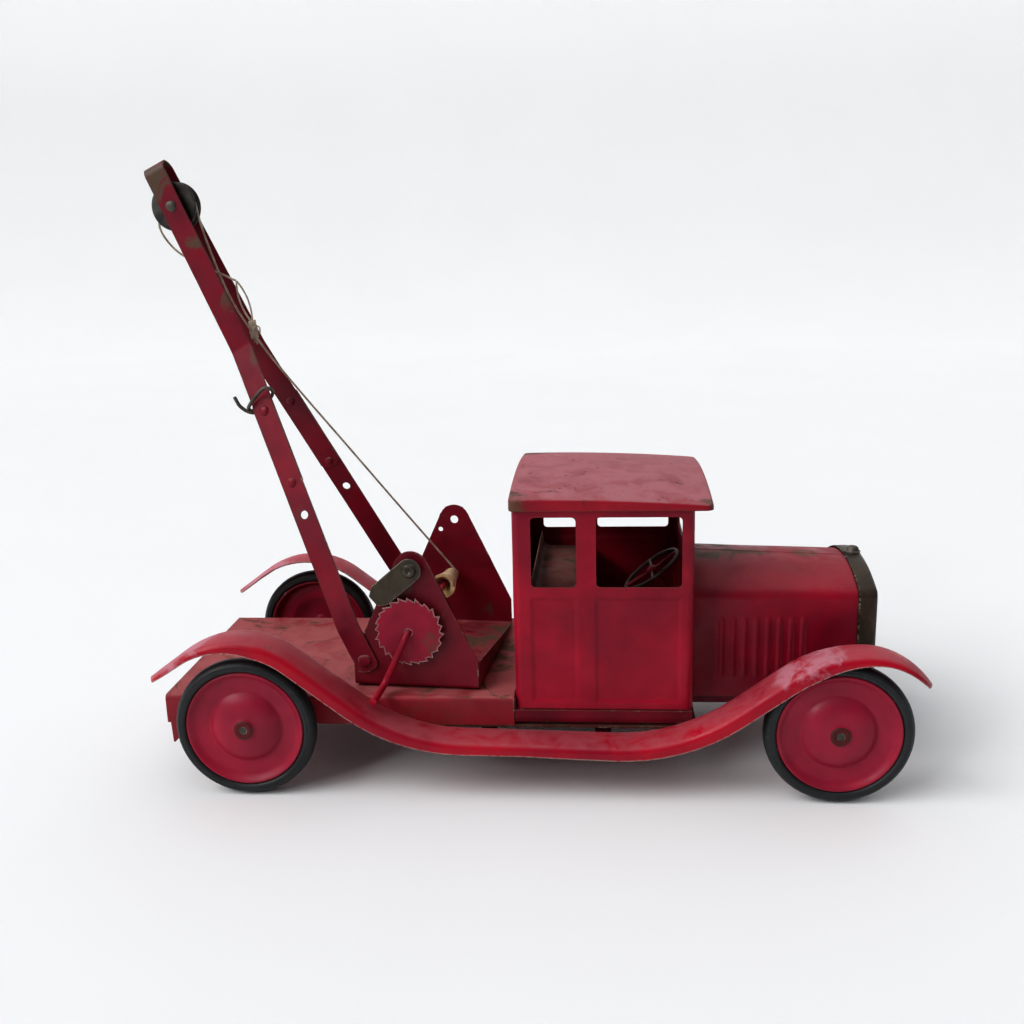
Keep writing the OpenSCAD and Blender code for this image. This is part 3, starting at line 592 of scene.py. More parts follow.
BOOM_RED = enamel("boom_enamel", (0.23, 0.003, 0.018), (0.11, 0.002, 0.013), sheen_and_fade=0.3, patches=0.3, wear=1.0,
                  chips=0.6, bare=0.1, shift=1.41,
                  grime_and_sheen=[spot(BOOM, 0, 0, 337, 34, 0.9), spot(BOOM, 9, -10, 290, 16, 0.85),
                         spot(BOOM, 9, -12, 245, 14, 0.8), spot(BOOM, 9, -16, 205, 12, 0.7)])
RATCHET_RED = enamel("ratchet_enamel", (0.33, 0.008, 0.035), (0.17, 0.004, 0.02), sheen_and_fade=0.2, patches=0.1, wear=1.0,
                     chips=0.4, bare=1.0, gloss=0.34, shift=1.72, grime_and_sheen=[spot(TURRET, 14, -66, 90, 13, 0.5)])
WHEEL_RED = enamel("wheel_enamel", (0.37, 0.014, 0.045), (0.23, 0.009, 0.03), sheen_and_fade=0.0, patches=0.1, wear=0.5,
                   chips=0.35, bare=0.1, gloss=0.27, shift=2.1)
# parts under the body in a darker red: painted shade
SHADED_UNDER_RED = enamel("shaded_under_enamel", DEEP_RED, SHADE_RED, sheen_and_fade=0.3, patches=0.5, wear=0.5, chips=0.6, bare=0.2,
                   gloss=0.42, shift=2.6)
HUB_RED = enamel("hub_enamel", (0.13, 0.006, 0.014), (0.06, 0.006, 0.008), sheen_and_fade=0.0, patches=0.6,
                 wear=0.9, chips=0.8, bare=0.0, gloss=0.34, shift=2.8)
# near-black brown for the aprons: painted shade in the gap between the valance and the running board
APRON_SHADE_BROWN = enamel("apron_shade_enamel", (0.075, 0.014, 0.012), (0.04, 0.014, 0.01), sheen_and_fade=0.2, patches=0.8, wear=0.5,
                     chips=0.6, bare=0.2, gloss=0.45, shift=2.9)
SEAT_BROWN = enamel("seat_enamel", (0.17, 0.055, 0.035), (0.08, 0.035, 0.022), sheen_and_fade=0.25, patches=0.8, wear=0.6,
                    chips=0.6, bare=0.2, gloss=0.45, shift=3.1)
DARK_STEEL = steel("dark_steel")
PULLEY_STEEL = steel("pulley_steel", (0.03, 0.027, 0.025), (0.11, 0.1, 0.094), rust=0.35, bare=0.7, shift=0.6)
OLIVE_STEEL = steel("olive_steel", (0.035, 0.027, 0.017), (0.085, 0.066, 0.043), rust=0.3, bare=0.8, metallic=0.45,
                    rough=0.38, shift=1.2)
RADIATOR_OLIVE = steel("radiator_steel", (0.032, 0.02, 0.012), (0.085, 0.055, 0.034), rust=0.45, bare=0.25,
                       metallic=0.4, rough=0.4, shift=1.9)
RUBBER = rubber("black_rubber")
CORD = cotton("cotton_cord", (0.5, 0.42, 0.32), (0.25, 0.18, 0.12))
COIL = cotton("cotton_coil", (0.62, 0.43, 0.2), (0.3, 0.17, 0.065))


# ---- bed ----

def build_bed():
    low, high = local_box("bed", STATION)
    cab = local_box("cab_shell", STATION)
    mid = SHEET / 2
    fold = 2.2
    half, top, edge = high.y - mid, high.z - mid, 38
    front = cab[0].x - 0.4
    # across the bed: up one flange, over the deck, down the other
    section = Line((-half, edge), 90, [(top - edge - fold, 0), (fold, -90), (2 * half - 2 * fold, 0),
                                       (fold, -90), (top - edge - fold, 0)])
    bm = bmesh.new()

    def deck(x, s):
        p, _ = section.at(max(0, min(section.length, s)))
        extra = max(0, -s) + max(0, s - section.length)
        dent = ripple((x, p.x, 0), 55, 0.35) if abs(p.x) < half - 4 else 0
        return Vector((x, p.x, p.y - extra + dent))

    rear = low.x + mid
    outline = [(rear, 0), (front, 0), (front, section.length), (rear, section.length)]
    # a pointed lug hangs from each flange at the rear corner
    lug = [(rear + 2, 0), (rear + 2.6, -13.5), (rear + 3.6, -13.8), (rear + 15.5, -2), (rear + 18, 0)]
    far_lug = [(x, section.length - y) for x, y in reversed(lug)]
    outline = [outline[0]] + lug + outline[1:3] + far_lug + [outline[3]]
    flat_sheet(bm, outline, [circle(pivot_station(), section.length / 2, 4.2, 16)], spread(rear, front, 9),
               [s for s in section.stops(8) if 0.1 < s < section.length - 0.1], deck)
    # tail flange with its folded upper edge
    tail = Line((rear + fold, top), 180, [(fold, 90), (top - edge - fold, 0)])
    grid(bm, [[Vector((tail.at(s)[0].x, y, tail.at(s)[0].y)) for y in spread(-half + 2.4, half - 2.4, 12)]
              for s in tail.stops(6)])
    piece("bed_deck", bm, STATION, "chassis", DECK_RED, ["bed"], thickness=SHEET - 0.1, bevel=0.3)

    # the lower floor under the cab, with its front riser and side valances
    bm = bmesh.new()
    floor_top = cab[0].z - mid - 0.05
    step_line = Line((front + 0.2, top - 0.8), 270, [(top - 0.8 - floor_top - 1.5, 0), (1.5, 90),
                                                       (cab[1].x - front - 2.5, 0)])
    grid(bm, [[Vector((step_line.at(s)[0].x, y, step_line.at(s)[0].y)) for y in spread(-half + 2, half - 2, 12)]
              for s in step_line.stops(12)])
    for side in (-1, 1):
        rows = [[Vector((x, side * (half - 0.3 + 0.3 * cos(z)), z))
                 for x in spread(front + 0.3, cab[1].x - 0.6, 12)]
                for z in spread(40.6, floor_top + 0.4, 2)]
        grid(bm, rows)
    # the floor and its valances take the darker red of painted shade
    piece("cab_floor", bm, STATION, "chassis", SHADED_UNDER_RED, thickness=SHEET - 0.1, bevel=0.3)


def pivot_station():
    return (STATION.inverted() @ slew_at).x


# ---- mudguards ----

# from the rear forward: lip, arch, slope, sweep, running board, sweep, slope and the two arcs of the front arch
GUARD_PARTS = [(28.6, 0), (57, -74), (47.6, 0), (110, 36.5), (94, 0), (119, 37.5), (37, 0), (78, -36), (46, -57.4)]


def build_guards():
    low, high = local_box("guard_left", STATION)
    middle, half = (low.y + high.y) / 2, (high.y - low.y) / 2
    line = Line((low.x, 74), 36, GUARD_PARTS)
    crown, roll = 1.5, 2.6

    def half_width(s):
        """Narrows to a rounded tip at both ends."""
        out = 1.0
        for d in (s, line.length - s):
            reach = half * 1.12
            if d < reach:
                out = min(out, sqrt(max(0.0, 1 - ((reach - d) / reach) ** 2)))
        return max(1.2, half * out)

    def skirt(s):
        tip = min(1, min(s, line.length - s) / 78)
        board = min(1, abs(s - line.length * 0.49) / 120)
        return (0.9 + 6.6 * tip ** 1.3) * (0.78 + 0.22 * board)

    for name, side in (("guard_right", -1), ("guard_left", 1)):
        bm = bmesh.new()
        rows = []
        for s in sorted(set(line.stops(5, 5) + [0.4, 1, 2, 3.5, 5, line.length - 5, line.length - 3.5,
                                                line.length - 2, line.length - 1, line.length - 0.4])):
            wide = half_width(s)
            deep = skirt(s)
            r = min(roll, wide * 0.45, deep)
            across = Line((-wide, 0), 0, [(2 * wide - r, 0), (r, -88), (max(0.1, deep - r), 0)])
            row = []
            for k in range(27):
                t = k / 26
                p, _ = across.at(across.length * t)
                lift = crown * (1 - min(1, abs(p.x) / wide) ** 2) - 0.5
                base = line.off(s, 0)
                heading = line.at(s)[1]
                tilt = 0.25 * ripple((s, 0, side * 40), 45, 1) * p.x / half
                h = p.y + lift + tilt - 0.4
                row.append(Vector((base.x - sin(heading) * h, side * (middle - 0.7 + p.x),
                                   base.y + cos(heading) * h)))
            rows.append(row)
        grid(bm, rows)
        piece(name + "_pressing", bm, STATION, "chassis", GUARD_RED, [name],
              thickness=GUARD_SHEET, bevel=0.22, sharp=50)


# ---- cab ----

PANEL_EDGE = (-1.8, -0.9, 0, 0.9, 1.8)


def build_cab():
    low, high = local_box("cab_shell", STATION)
    mid = SHEET / 2
    wall = Vector((low.x + mid, -74.0 + 0.4 + mid))
    length, width = high.x - low.x - 2 * mid, 2 * -wall.y
    r = 4.4
    # round the cab from the middle of the rear wall, clockwise from above: right side first
    plan = Line((wall.x, 0), 270, [(width / 2 - r, 0), (r, 90), (length - 2 * r, 0), (r, 90),
                                   (width - 2 * r, 0), (r, 90), (length - 2 * r, 0), (r, 90),
                                   (width / 2 - r, 0)])
    bottom, top = low.z, high.z - 0.3
    # a distance round the cab is right + station on the right side, and left - station on the left
    right = width / 2 - r + r * pi / 2 - (low.x + mid + r)
    left = plan.length - right
    front_mid = plan.length / 2
    windows = []
    sill, head = 128.4, 172.4
    for x0, x1 in ((178.9, 206.3), (218.5, 270.1)):
        windows.append(round_box(right + x0, sill, right + x1, head, 2.6))
        windows.append(round_box(left - x1, sill, left - x0, head, 2.6))
    windows.append(round_box(front_mid - 62, 135, front_mid + 62, 171, 3))
    panels = [(178.6, 206.2), (218.2, 269.4)]

    def emboss(s, z):
        """The panels under the windows are pressed in, with soft edges."""
        out = 0.0
        for x0, x1 in panels:
            for x in (s - right, left - s):
                dx, dz = max(x0 - x, x - x1), max(54 - z, z - 121)
                share = max(0, min(1, (1.6 - max(dx, dz)) / 3.2))
                out -= 0.95 * share * share * (3 - 2 * share)
        return out

    def shell(s, z):
        s = max(0, min(plan.length, s))
        dent = ripple((s, z, 5), 50, 0.3) * min(1, (z - bottom) / 12)
        p = plan.off(s, emboss(s, z) + dent - 0.15)
        return Vector((p.x, p.y, z))

    marks = set(plan.stops(9, 12))
    for x0, x1 in panels:
        for edge in (x0, x1):
            for d in PANEL_EDGE:
                marks |= {right + edge + d, left - edge - d}
    heights = set(spread(bottom, top, 9)) | {z + d for z in (54, 121) for d in PANEL_EDGE}
    bm = bmesh.new()
    # the rear window is cut through the seam, so it is two notches
    rear = [(0, 168), (36, 168), (38, 166), (38, 134), (36, 132), (0, 132)]
    outline = [(0, bottom), (plan.length, bottom)] + [(plan.length - x, z) for x, z in reversed(rear)] + \
        [(plan.length, top), (0, top)] + rear
    marks |= {36, 38, plan.length - 36, plan.length - 38}
    flat_sheet(bm, outline, windows, sorted(m for m in marks if 0.2 < m < plan.length - 0.2),
               sorted(z for z in heights if bottom + 0.2 < z < top - 0.2), shell)
    bmesh.ops.remove_doubles(bm, verts=bm.verts, dist=0.01)
    piece("cab_walls", bm, STATION, "chassis", RED, ["cab_shell"], thickness=SHEET - 0.1, bevel=0.3)


def build_roof():
    low, high = local_box("cab_roof", STATION)
    mid = 0.6
    middle = Vector(((low.x + high.x) / 2, 0))
    outline = round_box(low.x + mid, low.y + mid, high.x - mid, high.y - mid, 4.5, 5)
    loop = cut(outline, spread(low.x, high.x, 8), spread(low.y, high.y, 8))
    roll = 1.3

    def dome(x, y):
        """Highest near the rear wall, falling a little to the front and to both sides."""
        return high.z - mid - 0.3 - (x - middle.x + 40) ** 2 / 2400 - y * y / 1000

    rows = [[Vector((p.x, p.y, z)) for p in loop] for z in (low.z + mid, low.z + 2)]
    for k in range(4):
        a = radians(90 * k / 3)
        inset, drop = roll * (1 - cos(a)), roll * (1 - sin(a))
        row = []
        for p in loop:
            d = p - middle
            q = middle + d * (1 - inset / d.length)
            row.append(Vector((q.x, q.y, dome(q.x, q.y) - drop)))
        rows.append(row)
    for share in (0.9, 0.8, 0.7, 0.6, 0.5, 0.4, 0.3, 0.2, 0.1, 0.02):
        row = []
        for p in loop:
            d = p - middle
            q = middle + d * (1 - roll / d.length) * share
            swell = ripple((q.x, q.y, 9), 38, 0.4) * (1 - share) ** 0.3
            row.append(Vector((q.x, q.y, dome(q.x, q.y) + swell)))
        rows.append(row)
    bm = bmesh.new()
    made = grid(bm, rows, closed=True)
    bm.faces.new(made[-1])
    piece("roof_lid", bm, STATION, "chassis", ROOF_RED, ["cab_roof"], thickness=SHEET - 0.1,
          bevel=0.25, sharp=50)


# riser, front edge, cushion, the bend up and the low back
SEAT_PARTS = [(62, 0), (5, 88), (26, 0), (5, -80), (7, 0)]


def build_seat():
    low, high = local_box("seat", STATION)
    mid = SHEET / 2
    line = Line((high.x - mid, low.z), 90, SEAT_PARTS)
    bm = bmesh.new()
    rows = []
    for s in line.stops(4):
        p, _ = line.at(s)
        rows.append([Vector((p.x, y, p.y + ripple((p.x, y, p.y), 30, 0.4) - 0.3))
                     for y in spread(low.y + mid, high.y - mid, 6)])
    grid(bm, rows)
    piece("seat_sheet", bm, STATION, "chassis", SEAT_BROWN, ["seat"], thickness=SHEET - 0.2,
          bevel=0.25)


def build_steering():
    wheel_at = Vector(joints["steering_turn"]["pos_m"])
    axis = Vector(joints["steering_turn"]["axis"]).normalized()
    across = Vector((0, 1, 0))
    space = axes(wheel_at, across.cross(axis), across, axis)
    low, high = local_box("steering_wheel", space)
    r = high.y - 1.3
    bm = bmesh.new()
    ring = [Vector((r * cos(a), r * sin(a), 0.2 * sin(2 * a))) for a in (2 * pi * i / 72 for i in range(73))]
    sweep(bm, ring, 1.25, 12, caps=False)

    def spoke(bm, a, thick):
        """A bar from the hub, dipping a little, out to the ring."""
        out = Vector((cos(a), sin(a), 0))
        bar = [out * 2 - UP * 0.9, out * 7 - UP * 0.6, out * 14 - UP * 0.1, out * (r - 0.2)]
        sweep(bm, flowing(bar, 4), thick, 10)

    spoke(bm, pi / 2, 0.95)
    spoke(bm, -pi / 2, 0.95)
    piece("steering_ring", bm, space, "steering", DARK_STEEL, ["steering_wheel"], sharp=60)
    bm = bmesh.new()
    spoke(bm, 0, 1.35)
    spoke(bm, pi, 1.35)
    lathe(bm, [(0, -1.9), (3.4, -1.9), (4.1, -1.2), (4.2, 0.2), (3.4, 1.2), (1.8, 1.8), (0, 2)], n=28)
    piece("steering_spokes", bm, space, "steering", RED, sharp=60)
    column = local_box("steering_column", space)
    bm = bmesh.new()
    bottom = max(column[0].z + 2, -64)
    lathe(bm, [(0, bottom), (2.9, bottom), (2.9, -8), (2.6, -6), (2.6, -3), (2.2, -2), (0, -2)], n=24, wobble=0.05)
    piece("steering_tube", bm, space, "chassis", RED, ["steering_column"], sharp=60)


# ---- bonnet and radiator ----

def arch(half, z0, crease, top, n=18):
    """Right side up, over the ridge and down the left side, with a soft fold at each shoulder."""
    points = [Vector((-half, z)) for z in spread(z0, crease - 5, 6)]
    points += [Vector((-half + 0.1, crease - 3.5)), Vector((-half + 0.5, crease - 1.8)),
               Vector((-half + 1.4, crease - 0.3))]
    for k in range(1, n):
        y = -half + half * k / n
        z = crease + (top - crease) * (1 - abs(y / half) ** 2.1)
        if y > -half + 2:
            points.append(Vector((y, z)))
    points += [Vector((-1.6, top - 0.1)), Vector((-0.7, top + 0.25))]
    return points + [Vector((0, top + 0.4))] + [Vector((-p.x, p.y)) for p in reversed(points)]


LOUVRES = 8
LOUVRE_FIRST = 297.2             # station of the rearmost louvre
LOUVRE_PITCH = 7.2
SHOULDER_Z = 118                 # height of the folds along the bonnet and the radiator


def thinned(values, gap):
    """Sorted values without any that lie closer than gap to the one before."""
    out = []
    for v in sorted(values):
        if not out or v - out[-1] >= gap:
            out.append(v)
    return out


def build_bonnet():
    low, high = local_box("bonnet", STATION)
    half = 50 - 0.6
    start, end = low.x + 0.2, high.x - 0.2
    crease = SHOULDER_Z - 0.6
    ridge = (high.z - 1.1, high.z - 5.6)
    slots = [LOUVRE_FIRST + LOUVRE_PITCH * k for k in range(LOUVRES)]
    stations = set(spread(start, end, 7))
    for x in slots:
        stations |= {x - 2.4, x - 1.8, x - 1.2, x - 0.6, x, x + 0.6, x + 1.2, x + 1.8}
    rows = []
    for x in thinned(stations, 0.3):
        t = (x - start) / (end - start)
        top = ridge[0] + (ridge[1] - ridge[0]) * t
        section = arch(half, low.z + 0.2, crease - 0.6 * t, top)
        rows.append([Vector((x, p.x, p.y)) for p in section])
    # refine the flat sides by splitting rows at the louvre ends
    fine = []
    for row in rows:
        side = [p for p in row if abs(abs(p.y) - half) < 0.01]
        zs = sorted({60, 61, 62, 63, 64.5, 98.5, 100, 101, 102, 103}
                    | set(spread(low.z + 0.2, crease - 5.6, 7)))
        x = row[0].x
        lower = [Vector((x, -half, z)) for z in zs]
        upper = [p for p in row if p not in side]
        fine.append(lower + upper + [Vector((x, half, z)) for z in reversed(zs)])

    def louvre(x, z):
        out = 0.0
        for c in slots:
            d = x - c
            if -2.5 < d < 1.9:
                across = max(0, 1 - abs(d + 0.3) / 1.9) ** 0.7
                along = max(0, min(1, (z - 61) / 3, (102 - z) / 3))
                out = max(out, across * along)
        return 1.15 * out

    bm = bmesh.new()
    for row in fine:
        for p in row:
            if abs(abs(p.y) - half) < 0.01:
                p.y += math.copysign(louvre(p.x, p.z), p.y)
            else:
                p.z += ripple((p.x, p.y, 2), 40, 0.3)
    grid(bm, fine)
    piece("bonnet_pressing", bm, STATION, "chassis", BONNET_RED, ["bonnet"],
          thickness=SHEET - 0.2, bevel=0.2, sharp=55)


def offset_loop(points, d):
    """An open outline moved inwards, keeping its number of points."""
    out = []
    n = len(points)
    for i, p in enumerate(points):
        a, b = points[max(0, i - 1)], points[min(n - 1, i + 1)]
        t = (b - a).normalized()
        out.append(p + d * Vector((t.y, -t.x)))
    return out


def build_radiator():
    low, high = local_box("radiator_shell", STATION)
    base = arch(high.y - 0.1, low.z + 0.1, SHOULDER_Z, high.z - 0.45, 22)
    bm = bmesh.new()
    depth = high.x - low.x
    # from the back edge forward, round the front edge, in over the face and back into the opening
    profile = [(0, 0), (0, 0.02), (depth * 0.5, 0), (depth - 2.6, 0), (depth - 1.5, 0.3), (depth - 0.7, 0.9),
               (depth - 0.15, 1.9), (depth, 3), (depth - 0.1, 4.6), (depth - 0.8, 5.7), (depth - 2, 6.2),
               (depth - 5, 6.4)]
    rows = []
    for x, inset in profile:
        loop = offset_loop(base, inset) if inset else list(base)
        # the lower ends close into a bottom bar
        rows.append([Vector((low.x + x, p.x, max(p.y, low.z + 0.1))) for p in loop])
    grid(bm, rows)
    bar = [(0.6, 0), (depth - 1, 0), (depth, 1.2), (depth, 6.5), (depth - 1.4, 8), (depth - 5, 8)]
    grid(bm, [[Vector((low.x + x, y, low.z + 0.4 + z)) for y in spread(low.y + 1.5, high.y - 1.5, 8)]
              for x, z in bar])
    piece("radiator_surround", bm, STATION, "chassis", RADIATOR_OLIVE, ["radiator_shell"],
          thickness=0.9, bevel=0.15, sharp=60)

    # a core of pressed vertical ribs
    low, high = local_box("radiator_grille", STATION)
    bm = bmesh.new()
    rows = []
    ys = spread(low.y + 0.5, high.y - 0.5, 1.1)
    for z_share in [i / 24 for i in range(25)]:
        row = []
        for y in ys:
            crown = SHOULDER_Z - 6.3 + (128.9 - SHOULDER_Z) * (1 - abs(y / 44.5) ** 2.1)
            z = low.z + (crown - low.z) * z_share
            x = low.x + 1.2 + 1.3 * (0.5 + 0.5 * cos(2 * pi * y / 4.4))
            row.append(Vector((x, y, z)))
        rows.append(row)
    grid(bm, rows)
    piece("radiator_core", bm, STATION, "chassis", DARK_STEEL, ["radiator_grille"], thickness=0.6,
          bevel=0.1, sharp=60)

    low, high = local_box("radiator_cap", STATION)
    bm = bmesh.new()
    middle = (low + high) / 2
    height = high.z - low.z
    place = Matrix.Translation((middle.x, middle.y, low.z))
    lathe(bm, [(0, 0), (5.1, 0), (5.2, 0.4), (5.1, 1.1), (4.4, 1.35), (4.1, 1.9), (3.9, 3), (3, 3.9),
               (1.4, height - 0.05), (0, height)], place, 32)
    piece("radiator_filler", bm, STATION, "chassis", DARK_STEEL, ["radiator_cap"], sharp=60)


# ---- wheels ----

DISC = [(2.5, -6.2), (4.9, -6.2), (4.9, 4.6), (6.2, 5.5), (8, 5.6), (12, 5.2), (16.5, 4.0), (19.5, 2.2),
        (21.6, 0.9), (23.5, 0.4), (27, 0.6), (31.5, 1.0), (34.2, 2.2), (35.6, 3.4), (36.0, 3.2),
        (36.0, -5.9), (37.2, -5.9), (37.2, 4.6), (36.9, 5.4), (36.3, 5.7), (35.5, 5.4), (34.2, 4.1),
        (32.6, 2.9), (31, 2.4), (27, 2.0), (24.4, 1.7), (23.2, 1.5), (22.5, 1.9), (21.6, 2.7), (19.8, 4.0),
        (16.8, 5.4), (13, 6.3), (9.5, 6.65), (7.6, 6.75), (7.1, 6.9), (6.6, 7.3), (2.6, 7.35), (2.5, 7.3),
        (2.5, -6.2)]


HUB_WASHER = [(2.45, 0.05), (6.1, 0.05), (6.15, 0.2), (5.8, 0.5), (5, 0.8), (4, 0.86), (3.1, 0.7),
              (2.45, 0.45), (2.45, 0.05)]
TYRE_HALF, RIM_R, TYRE_R = 6.45, 37.2, 44.45


def tyre_profile(half, rim, outer):
    """Round-shouldered section with a shallow groove beside the rim."""
    side = [(rim + 0.2, half - 1.3), (rim + 0.9, half - 0.5), (rim + 1.9, half), (rim + 2.9, half - 0.05),
            (rim + 3.3, half - 0.35), (rim + 3.7, half - 0.1), (rim + 4.6, half - 0.45), (rim + 5.6, half - 1.3),
            (outer - 0.75, half - 2.6), (outer - 0.25, half - 3.9), (outer, half - 5.2)]
    return side + [(r, -z) for r, z in reversed(side)] + [(rim + 0.2, 0), side[0]]


def build_wheels():
    tyre = tyre_profile(TYRE_HALF, RIM_R, TYRE_R)
    for where in ("front", "rear"):
        for side_name, side in (("right", -1), ("left", 1)):
            body = "wheel_" + where[0] + side_name[0]
            disc_node, tyre_node = f"wheel_{where}_{side_name}", f"tyre_{where}_{side_name}"
            at = Vector(joints[body + "_spin"]["pos_m"])
            out = Vector((0, side, 0))
            space = axes(at, UP.cross(out), UP, out)
            turn = Matrix.Rotation(random.uniform(0, 2 * pi), 4, "Z")
            bm = bmesh.new()
            lathe(bm, DISC, turn, 96, wobble=0.03)
            bmesh.ops.remove_doubles(bm, verts=bm.verts, dist=0.001)
            piece(disc_node + "_disc", bm, space, body, WHEEL_RED, [disc_node], sharp=70)
            bm = bmesh.new()
            lathe(bm, tyre, turn, 120)
            bmesh.ops.remove_doubles(bm, verts=bm.verts, dist=0.001)
            piece(tyre_node + "_rubber", bm, space, body, RUBBER, [tyre_node], sharp=70)
    # washers crimped on the axle ends
    low, high = local_box("hub_caps", STATION)
    bm = bmesh.new()
    for axle in ("front_axle", "rear_axle"):
        at = STATION.inverted() @ centre(axle)
        for side in (-1, 1):
            out = Vector((0, side, 0))
            place = Matrix.Translation((at.x, side * (high.y - 0.9), at.z)) @ \
                Matrix((UP.cross(out), UP, out)).transposed().to_4x4()
            lathe(bm, HUB_WASHER, place, 36, wobble=0.08)
    bmesh.ops.remove_doubles(bm, verts=bm.verts, dist=0.001)
    piece("hub_washers", bm, STATION, "chassis", HUB_RED, ["hub_caps"], sharp=60)


# ---- turret ----

CHEEK_TOP = 137.5
CHEEK_TOP_R = 11
SHOULDER = 77


def cheek_side(half, n=10):
    """Outline of a cheek above the fold, from the front shoulder over the top to the rear shoulder, as (u, z)."""
    top = Vector((0, CHEEK_TOP))
    d = top - Vector((half, SHOULDER))
    a = math.atan2(-d.y, -d.x) + math.acos(CHEEK_TOP_R / d.length)
    arc = [top + CHEEK_TOP_R * Vector((cos(t), sin(t))) for t in (a + (pi - 2 * a) * i / n for i in range(n + 1))]
    return [Vector((half, SHOULDER))] + arc + [Vector((-half, SHOULDER))]


def build_turret():
    low, high = local_box("turret_frame", TURRET)
    half_u, half_v = high.x - 0.2, high.y - SHEET / 2
    floor = low.z + SHEET / 2
    fold = 2.0
    rise = CHEEK_TOP + CHEEK_TOP_R - floor
    # down the right cheek, across the floor, up the left one
    section = Line((-half_v, floor + rise), 270, [(rise - fold, 0), (fold, 90), (2 * half_v - 2 * fold, 0),
                                                  (fold, 90), (rise - fold, 0)])

    def flat_z(z):
        """Distance along the section for a height on the right cheek."""
        return floor + rise - z

    def place(u, s):
        p, _ = section.at(max(0, min(section.length, s)))
        upright = abs(p.x) > half_v - 0.5
        dent = ripple((u, p.y, p.x), 40, 0.25) if upright else ripple((u, p.x, 3), 40, 0.3)
        if upright:
            return Vector((u, p.x + dent * min(1, (p.y - floor) / 20), p.y))
        return Vector((u, p.x, p.y + dent * 0.6))

    right = [Vector((p.x, flat_z(p.y))) for p in cheek_side(half_u)]
    left = [Vector((p.x, section.length - flat_z(p.y))) for p in reversed(cheek_side(half_u))]
    outline = right + left
    hinge_at = TURRET.inverted() @ luff_at
    winch_at = TURRET.inverted() @ Vector(joints["winch_turn"]["pos_m"])
    holes = []
    for u, z, r in ((hinge_at.x, hinge_at.z, 2.1), (winch_at.x, winch_at.z, 2.4), (0, CHEEK_TOP, 3.0)):
        holes.append(circle(u, flat_z(z), r, 18))
        holes.append(circle(u, section.length - flat_z(z), r, 18))
    holes.append(circle(-10.5, section.length - flat_z(130), 1.8, 14))
    holes.append(circle(0, section.length / 2, 4.2, 18))
    bm = bmesh.new()
    flat_sheet(bm, outline, holes, spread(-half_u, half_u, 7),
               [s for s in section.stops(7) if 0.1 < s < section.length - 0.1], place)
    # tapered flange folded up from the floor's front edge
    front = Line((half_u - fold - 1, floor), 0, [(1, 0), (fold, 90), (SHOULDER - floor - fold, 0)])
    rows = []
    for share in [i / 16 for i in range(17)]:
        row = []
        for v in spread(-half_v + 1.6, half_v - 1.6, 6):
            tall = 2.5 + (front.length - 3.2) * (half_v - v) / (2 * half_v)
            p, _ = front.at(max(3.2, tall) * share if share else 0)
            row.append(Vector((p.x, v, p.y)))
        rows.append(row)
    grid(bm, rows)
    piece("turret_sheet", bm, TURRET, "turret", CHEEK_RED, ["turret_frame"], thickness=SHEET - 0.1,
          bevel=0.28)

    # rivet under the floor and its washer
    bm = bmesh.new()
    for node in ("turntable_washer", "turntable_rivet"):
        low, high = local_box(node, STATION)
        middle = (low + high) / 2
        if node == "turntable_washer":
            profile = [(4.1, low.z), (21.6, low.z), (22, low.z + 0.3), (21.6, high.z), (4.1, high.z),
                       (4.1, low.z)]
        else:
            top = high.z
            profile = [(0, low.z), (3, low.z + 0.2), (6.2, low.z + 0.8), (8.4, low.z + 2.3), (4, low.z + 2.4),
                       (4, top - 2.6), (8.4, top - 2.55), (8, top - 1.6), (6.2, top - 0.7), (3, top - 0.1),
                       (0, top)]
        lathe(bm, profile, Matrix.Translation((middle.x, middle.y, 0)), 40, wobble=0.05)
    bmesh.ops.remove_doubles(bm, verts=bm.verts, dist=0.001)
    piece("turntable_centre", bm, STATION, "chassis", DARK_STEEL,
          ["turntable_washer", "turntable_rivet"], sharp=60)


def facing(at, out):
    """Matrix in millimetres with z along out."""
    out = Vector(out).normalized()
    side = Vector((1, 0, 0))
    return Matrix.Translation(at) @ Matrix((side, out.cross(side), out)).transposed().to_4x4()


HEAD = [(0, 1.0), (0.28, 0.985), (0.55, 0.88), (0.78, 0.66), (0.93, 0.36), (1.0, 0.08), (1.0, 0.0), (0, 0)]


def rivet_head(bm, at, out, r, h):
    lathe(bm, [(r * a, h * b) for a, b in HEAD], facing(at, out), 28, wobble=0.05 * r)


